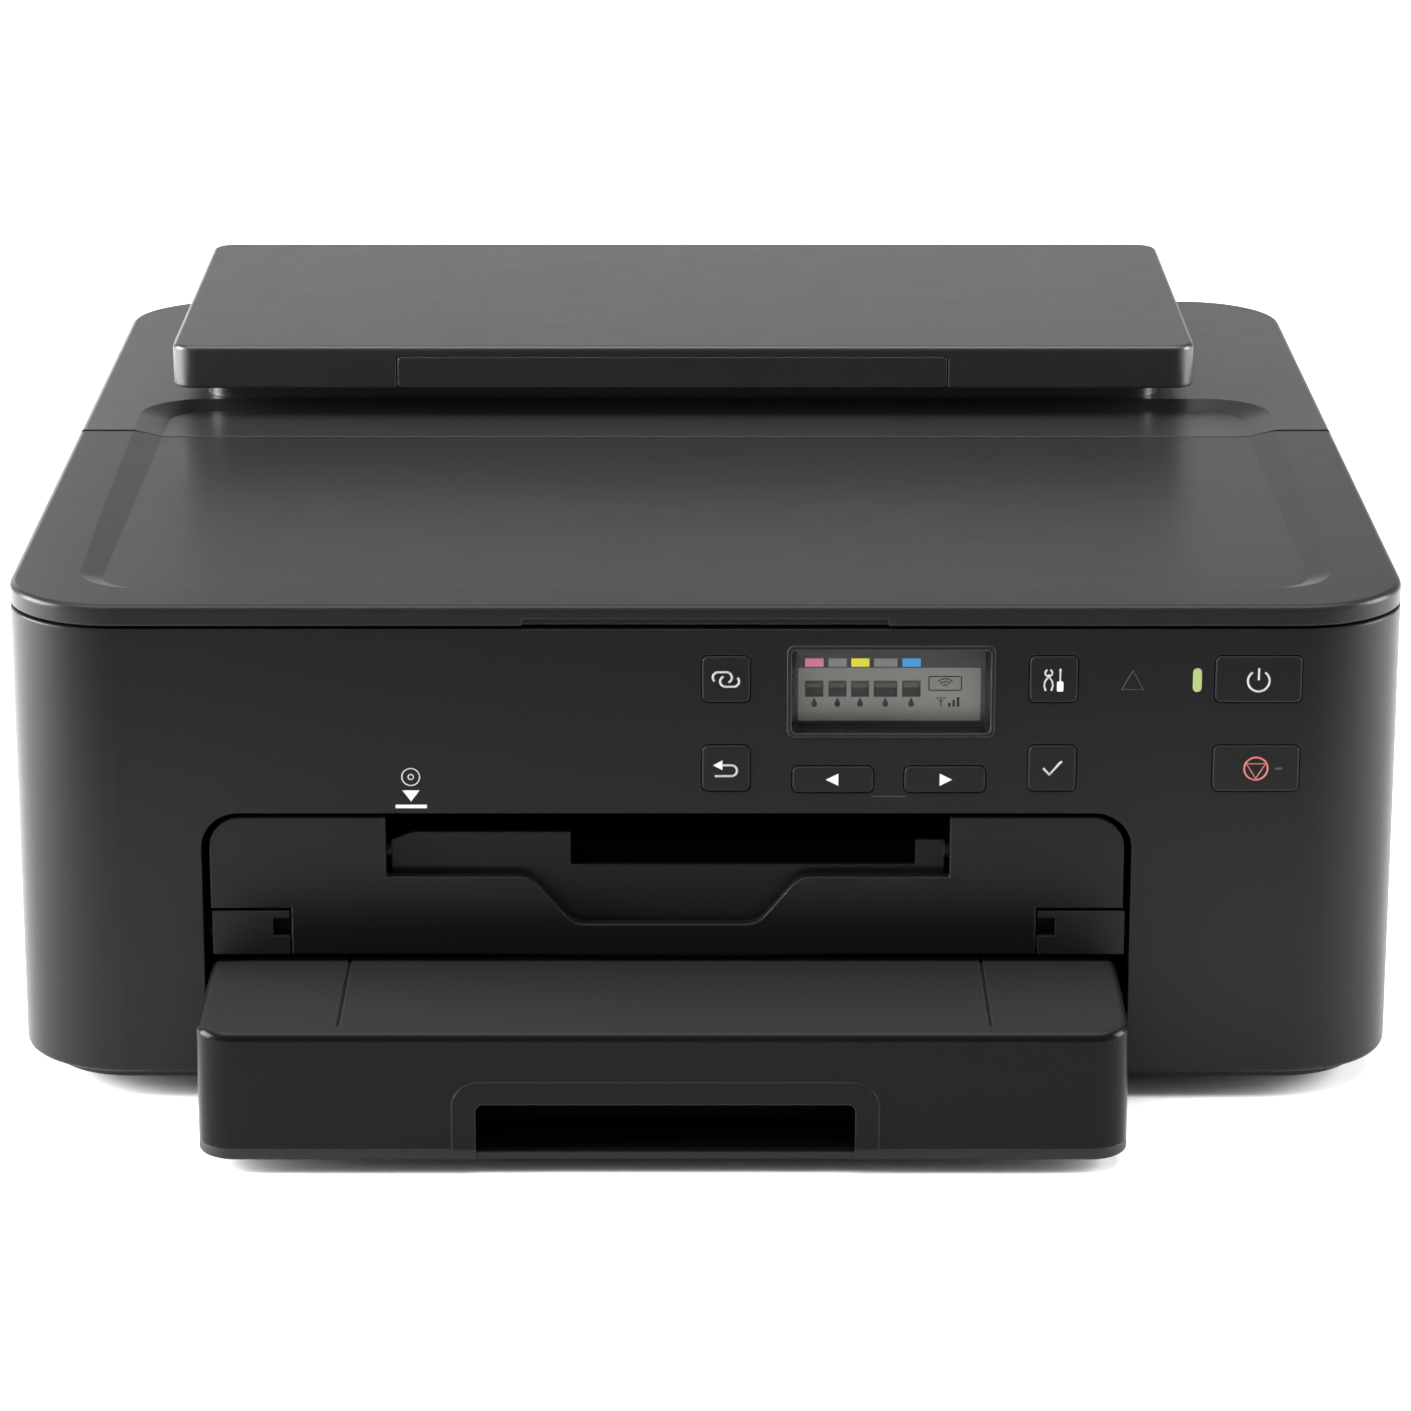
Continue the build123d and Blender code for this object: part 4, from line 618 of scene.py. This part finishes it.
def stage():
    """A pale floor that curves up into a backdrop, with a dark stretch ahead of the picture.

    The front faces mirror the floor ahead of them, so the dark stretch keeps them deep black. The top faces
    mirror the backdrop.
    """
    width, front, rear, bend, height, steps = 9.0, -4.0, 3.2, 1.2, 5.0, 24
    profile = [(front, 0.0)]
    profile += [(rear - bend + bend * sin(pi / 2 * s / steps), bend - bend * cos(pi / 2 * s / steps))
                for s in range(steps + 1)]
    profile.append((rear, height))
    vertices = [(side * width, y, z) for y, z in profile for side in (-1, 1)]
    faces = [[2 * i, 2 * i + 1, 2 * i + 3, 2 * i + 2] for i in range(len(profile) - 1)]
    mesh = bpy.data.meshes.new("sweep")
    mesh.from_pydata(vertices, [], faces)
    mesh.polygons.foreach_set("use_smooth", [True] * len(mesh.polygons))
    sweep = bpy.data.objects.new("sweep", mesh)
    bpy.context.scene.collection.objects.link(sweep)
    material, tree, shader = new_material("pale_paper")
    noise = node(tree, "ShaderNodeTexNoise", Scale=3.0, Detail=2.0)
    tone = ramp(tree, noise.outputs["Fac"], [(0.2, grey(0.90)), (0.8, grey(0.93))])
    split = tree.nodes.new("ShaderNodeSeparateXYZ")
    tree.links.new(tree.nodes.new("ShaderNodeTexCoord").outputs["Object"], split.inputs["Vector"])
    floor = mixed(tree, rising(tree, split.outputs["Y"], FLOOR_FADE_Y), FLOOR_DARK, tone)
    paper = mixed(tree, rising(tree, split.outputs["Z"], WALL_FADE_Z), floor, WALL_DARK)
    tree.links.new(paper, shader.inputs["Base Color"])
    shader.inputs["Roughness"].default_value = 0.9
    shader.inputs["Specular IOR Level"].default_value = 0.1
    mesh.materials.append(material)


def softbox(name, at, target, size, power):
    """An area light aimed at a point; power is in watts."""
    light = bpy.data.lights.new(name, "AREA")
    light.shape = "RECTANGLE"
    light.size, light.size_y = size
    light.energy = power
    lamp = bpy.data.objects.new(name, light)
    lamp.location = at
    lamp.rotation_euler = (Vector(target) - Vector(at)).to_track_quat("-Z", "Y").to_euler()
    bpy.context.scene.collection.objects.link(lamp)


def lights():
    """Soft boxes: one high, one each side for the front corners' tall highlights, and three that show only as
    reflections or fill: behind on the left, over the front edges, and on the backdrop."""
    world = bpy.data.worlds.new("studio")
    world.use_nodes = True
    world.node_tree.nodes["Background"].inputs["Color"].default_value = (1.0, 1.0, 1.0, 1.0)
    world.node_tree.nodes["Background"].inputs["Strength"].default_value = 0.30
    bpy.context.scene.world = world
    softbox("overhead", (0, -0.1, 2.2), (0, 0, 0), (2.6, 1.6), 92)
    softbox("left_strip", (-1.4, -0.05, 0.45), (-0.18, -0.05, 0.06), (1.0, 0.8), 105)
    softbox("right_strip", (1.4, 0.0, 0.45), (0.18, 0.0, 0.06), (0.7, 0.8), 50)
    softbox("left_glow", (-1.3, 2.7, 0.75), (-0.1, 0, 0.14), (1.3, 0.9), 9)
    softbox("front_edge", (0, -0.9, 1.8), (0, -0.15, 0.1), (2.2, 0.25), 5)
    softbox("backdrop_wash", (0, 1.4, 2.4), (0, 3.2, 0.9), (4.0, 0.8), 34)


def camera():
    """The camera: a long lens in front of the printer, looking down at it."""
    data = bpy.data.cameras.new("camera")
    data.sensor_width = 36.0
    data.lens = 130.5
    data.shift_y = 0.0032
    data.clip_end = 50.0
    obj = bpy.data.objects.new("camera", data)
    obj.location = (0.0, -1.4430, 0.5089)
    obj.rotation_euler = (radians(90 - 17.22), 0.0, 0.0)
    bpy.context.scene.collection.objects.link(obj)
    bpy.context.scene.camera = obj


paint_nodes()
button_marks()
case_marks()
display_picture()
underside_screws()
blank_plates()
stage()
lights()
camera()
bpy.context.scene.view_settings.view_transform = "Standard"
